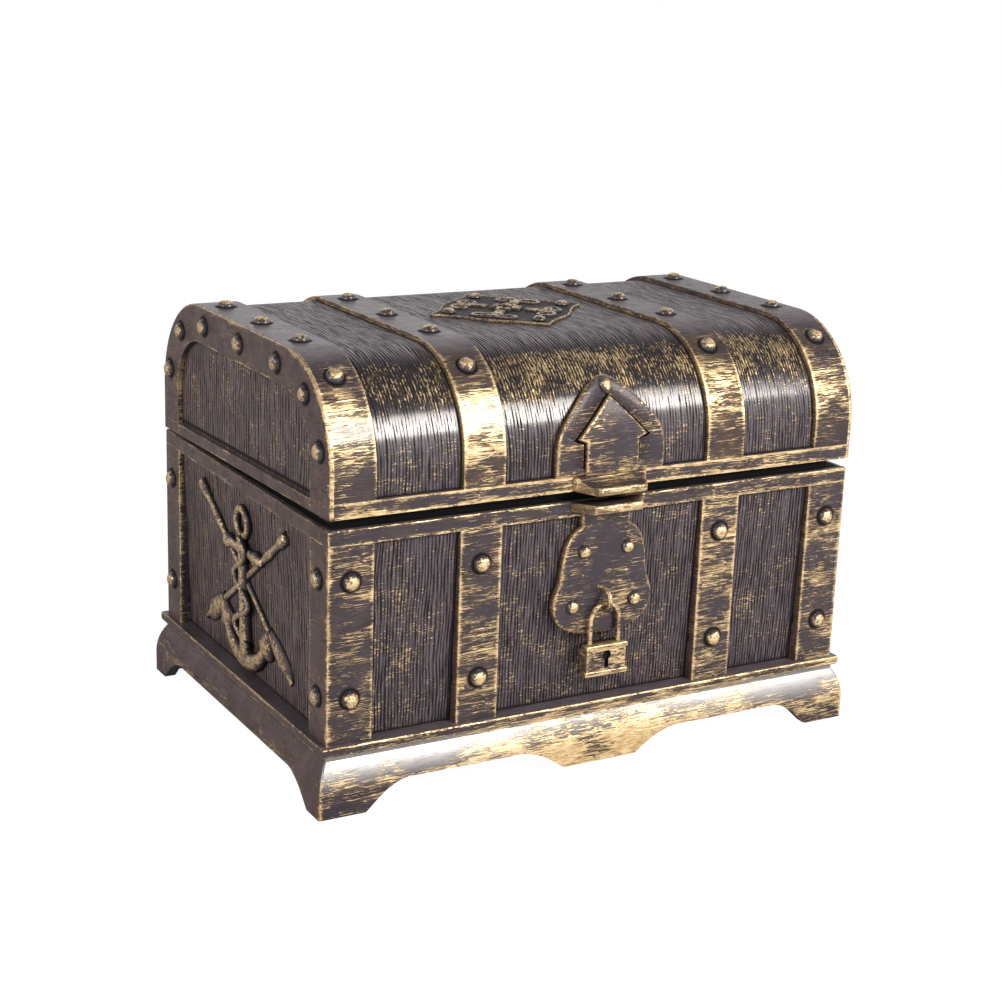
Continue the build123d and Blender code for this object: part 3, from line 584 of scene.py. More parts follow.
# %% Finishes for the carried-over pieces
chest_corner_paint = strap_finish("chest_corner_paint", strap_edges, 0.54, chest_rivet_rings)
chest_strap_paint = strap_finish("chest_strap_paint", strap_edges, 0.70, chest_rivet_rings)
skirt_paint = strap_finish(
    "skirt_paint", skirt_edges, 0.30, long_mm=9.0, fine_mm=0.42, dent=0.3,
    more_of=skirt_wear, gloss_of=skirt_gloss, wash=0.0,
)
skirt_varnish = skirt_paint.node_tree.nodes["Principled BSDF"]
skirt_varnish.inputs["Coat IOR"].default_value = 3.0
skirt_varnish.inputs["Coat Roughness"].default_value = 0.40
rail_paint = strap_finish("rail_paint", rail_edges, 0.50)
ON_SHOULDER = {"seats_of": lid_rivet_rings, "more_of": shoulder_wear, "gloss_of": strap_gloss}

FINISH_OF = {
    "chest_shell": boards("chest_boards", chest_hollow, chest_corners),
    "corner_strap": chest_corner_paint,
    "front_strap": chest_strap_paint,
    "rear_strap": chest_strap_paint,
    "chest_rim_band": strap_finish("rim_paint", rim_edges, 0.34),
    "base_bead": strap_finish("bead_paint", bead_edges, 0.55),
    "base_skirt": skirt_paint,
    "lid_shell": boards("lid_boards", lid_hollow, lid_corners, lid_bend),
    "lid_corner_strap": strap_finish("lid_corner_paint", lid_strap_edges, 0.46, wash=0.15, **ON_SHOULDER),
    "lid_strap": strap_finish("lid_strap_paint", lid_strap_edges, 0.60, wash=0.35, **ON_SHOULDER),
    "lid_front_rail": rail_paint,
    "lid_rear_rail": rail_paint,
    "lid_end_frame": strap_finish("end_frame_paint", end_frame_edges, 0.40, frame_rivet_rings),
}
print(len(FINISH_OF), "kinds of piece have a finish")

# %% [markdown]
# ## Pieces of our own
# Where the real chest has a shape that the plain model leaves out, a new mesh stands in for the
# model's piece. Each one is built from points and faces, carries a few numbers on its points for
# the paint, and rides on the body that it belongs to.

# %% Turning points and faces into a piece
def make_piece(name, points, faces, numbers, material, body, slot, replaced=()):
    """Build a mesh in the model's own frame. Points are in mm; numbers are lists with one value a point."""
    mesh = bpy.data.meshes.new(name)
    mesh.from_pydata([tuple(c * MM for c in point) for point in points], [], faces)
    for label, values in numbers.items():
        mesh.attributes.new(label, "FLOAT", "POINT").data.foreach_set("value", values)
    mesh.shade_smooth()
    mesh.update()
    mesh.materials.append(material)
    piece = added(name, mesh)
    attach(piece, body)
    if replaced:
        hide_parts(*replaced)
    print(f"{name}: {len(points)} points, {len(faces)} faces on {body}")


def ring_faces(start, rings, count):
    """Faces between rings of points, each ring joined to the next."""
    faces = []
    for first in range(start, start + (rings - 1) * count, count):
        for i in range(count):
            a, b = first + i, first + (i + 1) % count
            faces.append((a, b, b + count, a + count))
    return faces


def closed_rings(start, rings, count):
    """The same, with one more face over either end."""
    last = start + (rings - 1) * count
    ends = [tuple(reversed(range(start, start + count))), tuple(range(last, last + count))]
    return ring_faces(start, rings, count) + ends


# %% [markdown]
# ## Rivets
# Each rivet is a domed head, hammered a little out of true, with a low collar at its foot. The
# plain domes of the model say where they sit. Every dome has a flat base, and the base has more
# area in one direction than any other part of it, so that direction gives the way it faces.

# %% Finding the seats of the rivets
def solids_of(mesh):
    """The polygons of each separate solid in a mesh, found by the corners that they share."""
    solids = []
    for polygon in mesh.polygons:
        corners = {tuple(round(c / MM, 3) for c in mesh.vertices[i].co) for i in polygon.vertices}
        touching = [solid for solid in solids if not corners.isdisjoint(solid[0])]
        solids = [solid for solid in solids if corners.isdisjoint(solid[0])]
        solids.append((corners.union(*(s[0] for s in touching)), sum((s[1] for s in touching), [polygon])))
    return [sorted(polygons, key=lambda p: p.index) for corners, polygons in solids]


def rivet_seats(node):
    """Centre, outward direction, radius and height of each dome in a model piece, in mm."""
    mesh = nodes[node].data
    seats = []
    for polygons in solids_of(mesh):
        areas = {}
        for polygon in polygons:
            way = tuple(round(c, 2) for c in polygon.normal)
            areas[way] = areas.get(way, 0.0) + polygon.area
        out = -Vector(max(areas, key=areas.get)).normalized()
        points = [mesh.vertices[i].co / MM for p in polygons for i in p.vertices]
        low, high = min(out.dot(p) for p in points), max(out.dot(p) for p in points)
        rim = [p for p in points if out.dot(p) < low + 0.02]
        centre = sum(rim, Vector()) / len(rim)
        radius = max((p - centre).length for p in rim)
        seats.append((centre, out, radius, high - low))
    return sorted(seats, key=lambda seat: tuple(round(c, 1) for c in seat[0]))


# %% Hammered rivet heads
RIVET_PROFILE = (
    (1.00, 0.00), (1.00, 0.06), (0.98, 0.10), (0.95, 0.12), (0.95, 0.26),
    (0.89, 0.50), (0.77, 0.72), (0.57, 0.89), (0.31, 0.98),
)
RIVET_SIDES, MOST_LEAN = 28, 0.08


def turns_of(count):
    """The angles of a few places spread evenly round a circle."""
    return [math.tau * step / count for step in range(count)]


def hammered_rivets(name, node, body, slot):
    """A group of rivet heads in place of the model's plain domes."""
    points, faces, rise = [], [], []
    for centre, out, radius, height in rivet_seats(node):
        side = out.orthogonal().normalized()
        other = out.cross(side)
        spin = random.uniform(0, math.tau)
        lean = Vector((random.uniform(-MOST_LEAN, MOST_LEAN), random.uniform(-MOST_LEAN, MOST_LEAN)))
        start = len(points)
        for reach, lift in RIVET_PROFILE:
            for turn in turns_of(RIVET_SIDES):
                uneven = 1 - 0.05 * lift * (1 + math.sin(3 * (turn + spin)))
                across = radius * reach * uneven
                offset = Vector((math.cos(turn), math.sin(turn))) * across + lean * radius * lift
                points.append(centre + side * offset.x + other * offset.y + out * height * lift)
                rise.append(lift)
        top, last = len(points), len(points) - RIVET_SIDES
        points.append(centre + side * lean.x * radius + other * lean.y * radius + out * height)
        rise.append(1.0)
        faces += ring_faces(start, len(RIVET_PROFILE), RIVET_SIDES)
        faces += [(last + i, last + (i + 1) % RIVET_SIDES, top) for i in range(RIVET_SIDES)]
        faces.append(tuple(reversed(range(start, start + RIVET_SIDES))))
    make_piece(name, points, faces, {"rise": rise}, rivet_paint, body, slot, (node,))


def crown_finish(name, amount, shine=0.4, foot=0.4):
    """Bright bronze on the crowns, dark at the foot as painted shade; foot is the share of the rise that
    stays dark.
    """
    finish = Finish(name)
    rise = finish.attribute("rise")
    broken, patch = finish.mottled(1.1, 3.0, 0.65), finish.mottled(0.3, 2.0, 0.6)
    worn = rise * 1.35 - 0.38 + (broken - 0.5) * 2.2 + (patch - 0.5) * 1.2 - finish.up * 0.12 + amount
    # Painted shade darkens the foot of every rivet, dome and cord.
    rub, shade_and_soot = worn.ramp(0.35, 0.85), 1.0 - rise.ramp(0.02, foot)
    return coat(finish, rub, broken * 0.4, shade_and_soot, under_rough=0.26, strength=0.8, gloss=shine)


random.seed(11)
rivet_paint = crown_finish("rivet_paint", 0.0)
RIVETS_ON = {
    "chest": ("front_rivets", "rear_rivets", "left_rivets", "right_rivets", "hasp_rivets"),
    "lid": ("lid_top_rivets", "lid_front_rivets", "lid_rear_rivets", "lid_left_rivets", "lid_right_rivets"),
}
for body, groups in RIVETS_ON.items():
    for node in groups:
        hammered_rivets("hammered_" + node, node, body, "rivet")

# %% [markdown]
# ## Plates of the hasp
# The shield, the pointed arch and the ornament's plate are thin plates whose rims were rounded in
# the mould. Blender could bevel the model's solids, but then the paint would not know how far each
# point lies from a rim. So each plate is drawn as one outline, and rings of points step in from it
# and up, like terraces.

# %% Outlines, and plates built from rings
DEEP, HOLE_RIM = 9.0, 0.9


def smooth_through(points, steps):
    """A curve through all the points, with a few steps between each pair."""
    line = []
    for i in range(len(points) - 1):
        four = [points[max(i - 1, 0)], points[i], points[i + 1], points[min(i + 2, len(points) - 1)]]
        for step in range(steps):
            t = step / steps
            line.append(tuple(
                q + 0.5 * t * (r - p + t * (2 * p - 5 * q + 4 * r - s + t * (3 * q - p - 3 * r + s)))
                for p, q, r, s in zip(*four)
            ))
    return line + [points[-1]]


def moved_inward(outline, distance):
    """A closed outline, running anticlockwise, after each of its sides has moved in."""
    moved = []
    for i, here in enumerate(outline):
        before, after = Vector(outline[i - 1]), Vector(outline[(i + 1) % len(outline)])
        here = Vector(here)
        arriving, leaving = (here - before).normalized(), (after - here).normalized()
        inward = Vector((-arriving.y - leaving.y, arriving.x + leaving.x))
        moved.append(here + inward * distance / (1 + arriving.dot(leaving)))
    return moved


def mirrored(half):
    """A closed outline from its right half, which runs from the bottom to the top."""
    return list(half) + [(-x, y) for x, y in reversed(half) if x > 0]


def ringed_plate(half, rings, place, hole=(), hole_rings=(), hole_foot=0.0):
    """Points, faces and numbers of a plate that is the same on both sides of its middle.
    half runs up the right side, and each ring is an inset and a height. A hole is a second half
    with as many points, and each of its rings is a distance out of the hole and a height."""
    outline = mirrored(half)
    partner = [i if x <= 0 else outline.index((-x, y)) for i, (x, y) in enumerate(half)]
    points, rim, front = [], [], []
    for number, (inset, height) in enumerate(rings):
        points += [place(across, along, height) for across, along in moved_inward(outline, inset)]
        rim += [inset if number < len(rings) - 1 else DEEP] * len(outline)
        front += [min(number, 1)] * len(outline)
    for number, (outset, height) in enumerate(hole_rings):
        moved = moved_inward(mirrored(hole), -outset)
        points += [place(across, max(along, hole_foot), height) for across, along in moved]
        rim += [HOLE_RIM] * len(outline)
        front += [1 if number == 0 else 0] * len(outline)
    faces = ring_faces(0, len(rings) + len(hole_rings), len(outline))
    for start, way in ((0, -1), (len(faces), 1)):
        for i in range(len(half) - 1):
            corners = dict.fromkeys([i, i + 1, partner[i + 1], partner[i]])
            faces.append(tuple(start + c for c in corners)[::way])
    return points, faces, {"rim": rim, "front": front}


def at_shares(half, shares):
    """A half outline again, with its points at given shares of its height."""
    made = []
    for share in shares:
        level = share * half[-1][1]
        for (x, y), (next_x, next_y) in zip(half, half[1:]):
            if y <= level <= next_y:
                made.append((x + (next_x - x) * (level - y) / (next_y - y), level))
                break
    return made


def plate_finish(name, amount):
    """Streaked paint with bronze worn on to the rim; the sides of a plate, the walls of its hole and its
    upward faces are painted dark as painted shade.
    """
    finish = Finish(name)
    rim, front = finish.attribute("rim"), finish.attribute("front")
    edge = rim.ramp(2.0, 0.2)
    broken = finish.mottled(0.9, 3.0, 0.65)
    crest = (edge * 0.8 + (broken - 0.5) * 1.8).ramp(0.50, 0.95) * rim.ramp(-0.2, 0.25)
    rub = streaks(finish, amount, edge * 0.5, on_top=0.1, on_ends=0.05).most(crest) * front
    hewn = finish.brushed(6.0, 0.6).noise(3.0, 0.6)
    # Painted shade on the plate's sides, in its hole and on its upward faces.
    return coat(finish, rub, hewn * 0.2 + dents(finish, 0.4), (1.0 - front).most(finish.up * 0.7))


# %% Shield on the chest
SHIELD_FACE, KEEPER_LOW = 78.0, 99.1
SHIELD_HALF = (
    (0.0, 51.3), (4.6, 51.4), (8.9, 51.9), (12.6, 52.9), (15.7, 54.2), (18.1, 55.9), (19.7, 58.1),
    (20.7, 60.6), (21.2, 63.3), (21.0, 66.0), (20.1, 68.7), (19.0, 71.7), (18.3, 74.9), (18.0, 78.4),
    (17.4, 81.9), (16.5, 85.7), (15.05, 88.4), (12.8, 91.0), (9.96, 92.7),
)
SHIELD_RINGS = (
    (0.0, -3.4), (0.0, -1.0), (0.16, -0.6), (0.45, -0.22), (0.85, -0.04), (1.2, 0.0), (1.6, 0.0), (2.0, 0.0),
)
plate_paint = plate_finish("plate_paint", 0.42)
shield_half = smooth_through(SHIELD_HALF, 2) + [(10.4, 94.6), (10.4, KEEPER_LOW)]
shield = ringed_plate(shield_half, SHIELD_RINGS, lambda x, z, height: (x, -SHIELD_FACE - height, z))
make_piece("shield_plate", *shield, plate_paint, "chest", "ornament", ("hasp_shield",))

# %% [markdown]
# The arch bends over the lid's round shoulder. Its outline is drawn on flat paper, across and along
# the surface, and every point is then wrapped round the shoulder. A raised house shape lies on
# it, and a drop hangs at the point.

# %% Pointed arch on the lid
LID_FOOT = 112.0


def on_lid(across, along, height):
    """Wrap a point of the flat drawing over the lid's front; along starts at the front rail."""
    flat = LID_TOP - SHOULDER_RADIUS - LID_FOOT
    turn = max(along - flat, 0.0) / SHOULDER_RADIUS
    reach = SHOULDER_RADIUS + height
    depth = LID_HALF_DEPTH - SHOULDER_RADIUS + reach * math.cos(turn)
    return (across, -depth, LID_FOOT + min(along, flat) + reach * math.sin(turn))


ARCH_HALF = smooth_through((
    (22.7, 0.0), (22.7, 8.0), (22.4, 12.0), (21.6, 15.0), (20.3, 17.6), (18.6, 20.0),
    (16.5, 22.5), (14.3, 25.0), (12.1, 27.5), (9.8, 30.0), (7.3, 32.3), (4.7, 34.4), (2.2, 35.8), (0.0, 36.3),
), 2)
HOUSE_HALF = (
    (11.0, 0.0), (11.0, 4.0), (11.0, 8.0), (11.0, 12.0), (14.5, 13.4), (12.5, 15.4), (10.0, 17.9),
    (7.5, 20.4), (5.0, 22.9), (2.5, 25.4), (0.0, 27.8),
)
ARCH_RINGS = ((0.0, -2.2), (0.0, 0.1), (0.2, 0.55), (0.6, 0.9), (1.0, 1.08), (1.4, 1.1), (1.9, 1.1))
ARCH_HOLE_RINGS, ARCH_SILL = ((1.0, 1.1), (0.75, 0.3), (0.3, 0.1)), 2.4
HOUSE_RINGS = ((0.0, -0.1), (0.0, 1.5), (0.15, 1.85), (0.4, 2.12), (0.7, 2.2), (1.1, 2.2), (1.5, 2.2))

house_shares = [y / HOUSE_HALF[-1][1] for x, y in HOUSE_HALF]
arch_shares = {round(y / ARCH_HALF[-1][1], 3) for x, y in ARCH_HALF[2:-1]}
arch_shares = {s for s in arch_shares if min(abs(s - h) for h in house_shares) > 0.012}
shares = sorted(arch_shares | set(house_shares))
halves = at_shares(ARCH_HALF, shares), at_shares(HOUSE_HALF, shares)
border = ringed_plate(halves[0], ARCH_RINGS, on_lid, halves[1], ARCH_HOLE_RINGS, ARCH_SILL)
make_piece("arch_border", *border, plate_paint, "lid", "ornament", ("arch_plate",))
house = ringed_plate(HOUSE_HALF, HOUSE_RINGS, on_lid)
make_piece("arch_house", *house, plate_paint, "lid", "ornament", ("arch_inner_plate",))

# %% [markdown]
# ## Domes, cords and curls
# Small relief is built from two shapes. A dome swells over any outline, and makes the drop, the
# petals and the anchor's flukes. A cord is a bar that follows a path and can grow thinner.
# Both carry their height as a number, so that the bronze lands on the crowns.

# %% Domes and cords
DOME_RINGS, SUNK = (1.0, 0.985, 0.93, 0.82, 0.66, 0.46, 0.22), 0.6


class Relief:
    """Collects domes and cords into one mesh."""

    def __init__(self, place):
        self.place = place
        self.points, self.faces, self.rise = [], [], []

    def grow(self, points, rises, rings):
        """Add rings of points, each joined to the next, and close both ends."""
        self.faces += closed_rings(len(self.points), rings, len(points) // rings)
        self.points += points
        self.rise += rises

    def dome(self, outline, height, base=0.0):
        """A swelling over an outline that runs anticlockwise; its foot is sunk a little."""
        centre = sum((Vector(p) for p in outline), Vector((0, 0))) / len(outline)
        points, rises = [], []
        for share, lift in [(1.0, -SUNK)] + [(r, height * math.sqrt(1 - r * r)) for r in DOME_RINGS]:
            for corner in outline:
                across, along = centre + (Vector(corner) - centre) * share
                points.append(self.place(across, along, base + lift))
                rises.append(max(lift, 0.0) / height)
        self.grow(points, rises, len(DOME_RINGS) + 1)

    def cord(self, path, radii, base=0.0, squash=0.8, sides=10):
        """A bar with its axis on the surface, or above it by base; path and radii go together."""
        points, rises = [], []
        for i, (across, along) in enumerate(path):
            before, after = Vector(path[max(i - 1, 0)]), Vector(path[min(i + 1, len(path) - 1)])
            way = (after - before).normalized()
            beside = Vector((way.y, -way.x))
            for turn in turns_of(sides):
                offset = beside * radii[i] * math.cos(turn)
                lift = radii[i] * squash * math.sin(turn)
                points.append(self.place(across + offset.x, along + offset.y, base + lift))
                rises.append(max(math.sin(turn), 0.0))
        self.grow(points, rises, len(path))

    def piece(self, name, material, body, replaced=()):
        make_piece(name, self.points, self.faces, {"rise": self.rise}, material, body, "ornament", replaced)


def turned_about(centre, along, across, turned):
    """A point of a small drawing after the drawing was turned and moved to its centre."""
    return (
        centre[0] + along * math.cos(turned) - across * math.sin(turned),
        centre[1] + along * math.sin(turned) + across * math.cos(turned),
    )


def oval(centre, length, width, turned=0.0, point=0.0, steps=24):
    """An oval along a direction; point above 0 draws its far end out like a drop."""
    shape = []
    for turn in turns_of(steps):
        along, across = math.cos(turn) * length / 2, math.sin(turn) * width / 2
        shape.append(turned_about(centre, along, across * (1 - point * math.cos(turn)), turned))
    return shape


crown_paint = crown_finish("crown_paint", 0.05)
drop = Relief(on_lid)
drop.dome(oval((0.0, 31.3), 6.4, 4.8, -math.pi / 2, 0.35), 1.7, 1.0)
drop.piece("arch_bead", crown_paint, "lid", ("arch_drop",))

# %% [markdown]
# ## Ornament on the lid
# A lobed plate sits in the middle of the lid. Pairs of curls fill its quarters and a flower
# of eight petals stands in the middle. A carved ornament could be sculpted freely, but curls that
# follow a rule, winding tighter at an even rate, stay crisp and even.

# %% Emblem plate
EMBLEM_FACE, EMBLEM_REACH = 157.7, 33.0
EMBLEM_OUTLINE = ((0, 1.0), (8, 0.87), (20, 0.785), (45, 0.76), (70, 0.785), (82, 0.87))
EMBLEM_RINGS = ((0.0, -1.3), (0.0, -0.35), (0.15, -0.12), (0.35, 0.0), (0.7, 0.0), (0.85, -0.2), (1.0, -0.25))


def on_top(across, along, height):
    return (across, along, EMBLEM_FACE + height)


emblem_half = []
for start in (-90, 0):
    for turn, share in EMBLEM_OUTLINE:
        turned = math.radians(turn + start)
        emblem_half.append((EMBLEM_REACH * share * math.cos(turned), EMBLEM_REACH * share * math.sin(turned)))
emblem_half = smooth_through([(0.0, -EMBLEM_REACH)] + emblem_half[1:] + [(0.0, EMBLEM_REACH)], 5)
emblem = ringed_plate(emblem_half, EMBLEM_RINGS, on_top)
make_piece("emblem_base", *emblem, plate_paint, "lid", "ornament", ("emblem_plate",))

# %% Curls and flower
CURL_STEPS, LEAF_STEPS = 26, 10


def curl(start, heading, length, bend, side, steps):
    """A path that leaves start in a direction and winds up tighter and tighter."""
    path, place = [], Vector(start)
    for step in range(steps):
        path.append(tuple(place))
        heading += side * (bend[0] + (bend[1] - bend[0]) * step / steps) * length / steps
        place += Vector((math.cos(heading), math.sin(heading))) * length / steps
    return path


emblem_paint = crown_finish("emblem_paint", -0.12, 0.15, 0.7)
curls = Relief(on_top)
for quarter_turn in range(4):
    for side in (-1, 1):
        heading = math.radians(45 + 90 * quarter_turn - 6 * side)
        way = Vector((math.cos(heading), math.sin(heading)))
        path = curl(way * 8.0, heading + side * 0.12, 30.0, (-0.03, 0.50), side, CURL_STEPS)
        curls.cord(path, [1.35 - 0.6 * i / CURL_STEPS for i in range(CURL_STEPS)], base=-0.2)
        curls.dome(oval(path[-1], 2.6, 2.6, steps=14), 1.3, -0.3)
        leaf = curl(way * 14.0, heading - side * 0.5, 9.0, (0.0, 0.16), -side, LEAF_STEPS)
        curls.cord(leaf, [1.2 - 0.1 * i for i in range(LEAF_STEPS)], base=-0.2)
curls.piece("emblem_curls", emblem_paint, "lid")

flower = Relief(on_top)
for petal in range(8):
    turned = math.tau * (petal + 0.5) / 8
    middle = (4.3 * math.cos(turned), 4.3 * math.sin(turned))
    flower.dome(oval(middle, 5.0, 3.4, turned, 0.2, 16), 1.5, -0.25)
flower.dome(oval((0.0, 0.0), 4.6, 4.6, steps=20), 2.2, 0.0)
flower.piece("emblem_flower", emblem_paint, "lid", ("emblem_boss",))
hammered_rivets("emblem_stud_heads", "emblem_studs", "lid", "ornament")

# %% [markdown]
# ## Anchor on each end
# The ends carry a raised anchor over two crossed oars, with a rope wound round its shank. All is
# built from the same cords and domes as the ornament, and laid on the panel, which leans out a
# little towards the top. The model keeps only the anchor, because the oars are low relief.

# %% Anchors
PANEL_SUNK, PANEL_FALL, PANEL_LEAN = 1.8, 71.5, 2.7
OAR_GRIP, OAR_FOOT, OAR_RADII = (40.0, 90.0), (41.0, 35.0), [2.6, 2.7, 1.8, 1.8, 2.3, 1.8] + [1.6] * 15
SHANK_FOOT, SHANK_STEP, SHANK_STEPS = 30.5, 4.9, 11
STOCK_REACH, STOCK_STEP, STOCK_LEVEL = 18.2, 2.8, 74.0
STOCK_RADII = (1.3, 2.8, 3.2, 2.3, 2.0, 2.3, 2.7, 2.7, 2.3, 2.0, 2.3, 3.2, 2.8, 1.3)
RING_CENTRE, ARM_CENTRE, ARM_RADIUS, ARM_SWING = 84.6, 51.5, 21.0, math.radians(64)
FLUKE = (
    (-6.0, 0.0), (-4.5, -4.6), (-1.5, -6.6), (3.2, -4.0), (9.5, 0.0), (3.2, 4.0), (-1.5, 6.6), (-4.5, 4.6),
)
ROPE_TOP, ROPE_FALL, ROPE_REACH, ROPE_TURNS, ROPE_STEPS = 79.0, 42.0, 8.0, 2.1, 49
DOWN = -math.pi / 2


def on_end(side):
    """A drawing laid on an end panel, seen from outside, with heights from the floor."""
    def place(across, along, height):
        inset = PANEL_SUNK + PANEL_LEAN * (RIM_FOOT - along) / PANEL_FALL
        return (side * (BODY_HALF_WIDTH - inset + height), side * across, along)
    return place


def arc(centre, radius, start, stop, steps):
    turns = [start + (stop - start) * i / (steps - 1) for i in range(steps)]
    return [(centre[0] + radius * math.cos(t), centre[1] + radius * math.sin(t)) for t in turns]


def oar(relief, way):
    """A long oar that leans to one side, with its grip at the top and its blade at the foot."""
    grip, foot = Vector((-way * OAR_GRIP[0], OAR_GRIP[1])), Vector((way * OAR_FOOT[0], OAR_FOOT[1]))
    relief.cord([tuple(grip.lerp(foot, i / 20)) for i in range(21)], OAR_RADII, 0.2, 0.85)
    turned = math.atan2(foot.y - grip.y, foot.x - grip.x)
    relief.dome(oval(tuple(grip.lerp(foot, 0.86)), 27.0, 9.0, turned, -0.25), 1.7)


def anchor_relief(side):
    """Two oars under an anchor, with a rope wound round its shank."""
    relief = Relief(on_end(side))
    for way in (-1, 1):
        oar(relief, way)
    shank = [(0.0, SHANK_FOOT + i * SHANK_STEP) for i in range(SHANK_STEPS)]
    relief.cord(shank, [4.0 - 0.12 * i for i in range(SHANK_STEPS)], 1.0, 0.7)
    relief.cord(arc((0.0, RING_CENTRE), 5.2, DOWN, 1.5 * math.pi + 0.05, 33), [1.7] * 33, 0.8, 0.9)
    stock = [(-STOCK_REACH + STOCK_STEP * i, STOCK_LEVEL) for i in range(len(STOCK_RADII))]
    relief.cord(stock, STOCK_RADII, 0.9, 0.8)
    arms = arc((0.0, ARM_CENTRE), ARM_RADIUS, DOWN - ARM_SWING, DOWN + ARM_SWING, 25)
    relief.cord(arms, [2.0 + 2.0 * math.sin(math.pi * i / 24) for i in range(25)], 0.9, 0.75)
    for way in (-1, 1):
        swing = DOWN + way * ARM_SWING
        root = (ARM_RADIUS * math.cos(swing), ARM_CENTRE + ARM_RADIUS * math.sin(swing))
        point_at = swing + way * math.pi / 2
        relief.dome([turned_about(root, reach, aside, point_at) for reach, aside in FLUKE], 2.6, 0.3)
    rope = []
    for share in (i / (ROPE_STEPS - 1) for i in range(ROPE_STEPS)):
        sweep = ROPE_REACH * math.sin(share * ROPE_TURNS * math.tau) * (0.6 + 0.4 * share)
        rope.append((sweep, ROPE_TOP - ROPE_FALL * share))
    relief.cord(rope, [1.5] * ROPE_STEPS, 2.4, 0.9, 8)
    return relief


anchor_paint = crown_finish("anchor_paint", -0.12, 0.30, 0.95)
for side, name in ((-1, "anchor_left"), (1, "anchor_right")):
    anchor_relief(side).piece("roped_" + name, anchor_paint, "chest", (name,))

# %% [markdown]
# ## Tabs and the padlock's ledges
# A tab on the lid comes down over a lower tab on the chest. The upper one slopes away from a ridge
# at its root to a thick front lip. Both are one section swept from side to side, pinched at its
# ends so that the corners are not knife-sharp. The padlock's two ledges are plates like the shield.

# %% Tabs
ROOT_HALF, FRONT_HALF, TAB_SIDE_STEPS, PINCH = 15.5, 10.0, 12, 0.35
TAB_COLUMNS = [-1.0, -0.985] + [2 * i / TAB_SIDE_STEPS - 1 for i in range(1, TAB_SIDE_STEPS)] + [0.985, 1.0]


def tab(name, node, section, root_depth, reach, body):
    """section is a closed loop of depth in front of the root, and height."""
    low, high = min(z for depth, z in section), max(z for depth, z in section)
    points, rim = [], []
    for column in TAB_COLUMNS:
        pinch = PINCH if abs(column) == 1.0 else 0.0
        for depth, height in section:
            depth = depth + pinch * (1 if depth < reach / 2 else -1)
            height = height + max(-pinch, min(pinch, (low + high) / 2 - height))
            half = ROOT_HALF + (FRONT_HALF - ROOT_HALF) * max(depth, 0.0) / reach
            points.append((column * half, -root_depth - depth, height))
            rim.append(min(abs(depth - reach), (1 - abs(column)) * half, abs(height - low) + 0.6))
    faces = closed_rings(0, len(TAB_COLUMNS), len(section))
    numbers = {"rim": rim, "front": [1.0] * len(points)}
    make_piece(name, points, faces, numbers, tab_paint, body, "lock", (node,))


tab_paint = plate_finish("tab_paint", 0.6)
UPPER_SECTION = (
    (0.0, 106.7), (9.4, 106.5), (9.9, 106.9), (10.0, 107.6), (9.9, 108.8), (9.5, 109.4), (8.8, 109.5),
    (8.0, 109.1), (6.0, 109.3), (4.0, 109.9), (2.4, 110.7), (1.8, 111.5), (1.3, 111.9), (0.7, 112.0),
    (0.0, 111.9),
)
LOWER_SECTION = (
    (0.0, KEEPER_LOW), (8.3, KEEPER_LOW), (8.8, 99.4), (9.0, 100.0),
    (9.0, 101.4), (8.7, 102.0), (8.1, 102.3), (0.0, 102.3),
)
tab("sloped_tab", "latch_tab", UPPER_SECTION, LID_HALF_DEPTH, 10.0, "lid")
tab("keeper_tab", "hasp_keeper", LOWER_SECTION, BODY_HALF_DEPTH, 9.0, "chest")

# %% Ledges across the padlock
CASE_FRONT = 82.275
LEDGE_CORNER = ((0.6, 0.0), (0.15, 0.15), (0.0, 0.6))
LEDGE_RINGS = ((0.0, -5.1), (0.0, 0.15), (0.15, 0.38), (0.4, 0.45), (0.6, 0.45))
LEDGES = (("padlock_top_ledge", 46.3, 48.2, 8.9), ("padlock_foot_ledge", 36.3, 38.2, 9.2))
lock_plate_paint = plate_finish("lock_plate_paint", 0.95)
for name, low, high, half in LEDGES:
    bar = [(half - inset, low + lift) for inset, lift in LEDGE_CORNER]
    bar += [(half - inset, high - lift) for inset, lift in reversed(LEDGE_CORNER)]
    ledge = ringed_plate(bar, LEDGE_RINGS, lambda x, z, height: (x, -CASE_FRONT - height, z))
    make_piece(name, *ledge, lock_plate_paint, "padlock", "lock")

# %% [markdown]
# ## Fittings
# The hinges are the only real metal. Their leaves are brass that has gone dark and was rubbed bright
# in places. The padlock and its staple are moulded and painted like the straps, but the brush
# touched them more, because they stand proud.

# %% Fittings
KEYHOLE_MIDDLE, KEYHOLE_WIDE, KEYHOLE_TALL, KEYHOLE_DEEP = 42.5, (2.7, 2.4), (4.9, 4.6), (0.02, 0.12)
DARK_BRASS, BRIGHT_BRASS = (0.16, 0.10, 0.045), (0.47, 0.31, 0.14)


def lock_finish():
    """Bronze streaks all over, and painted shade in the keyhole."""
    finish = Finish("lock_paint")
    rub = streaks(finish, 1.0, 0.0, 4.0, 0.42, 0.02, 0.06) * (1.0 - finish.under)
    # The keyhole's inside is painted near-black as painted shade.
    keyhole = finish.wide.ramp(*KEYHOLE_WIDE) * abs(finish.z - KEYHOLE_MIDDLE).ramp(*KEYHOLE_TALL)
    keyhole = keyhole * (finish.y + CASE_FRONT).ramp(*KEYHOLE_DEEP)
    return coat(finish, rub * (1.0 - keyhole), dents(finish, 0.3), keyhole, strength=0.8)


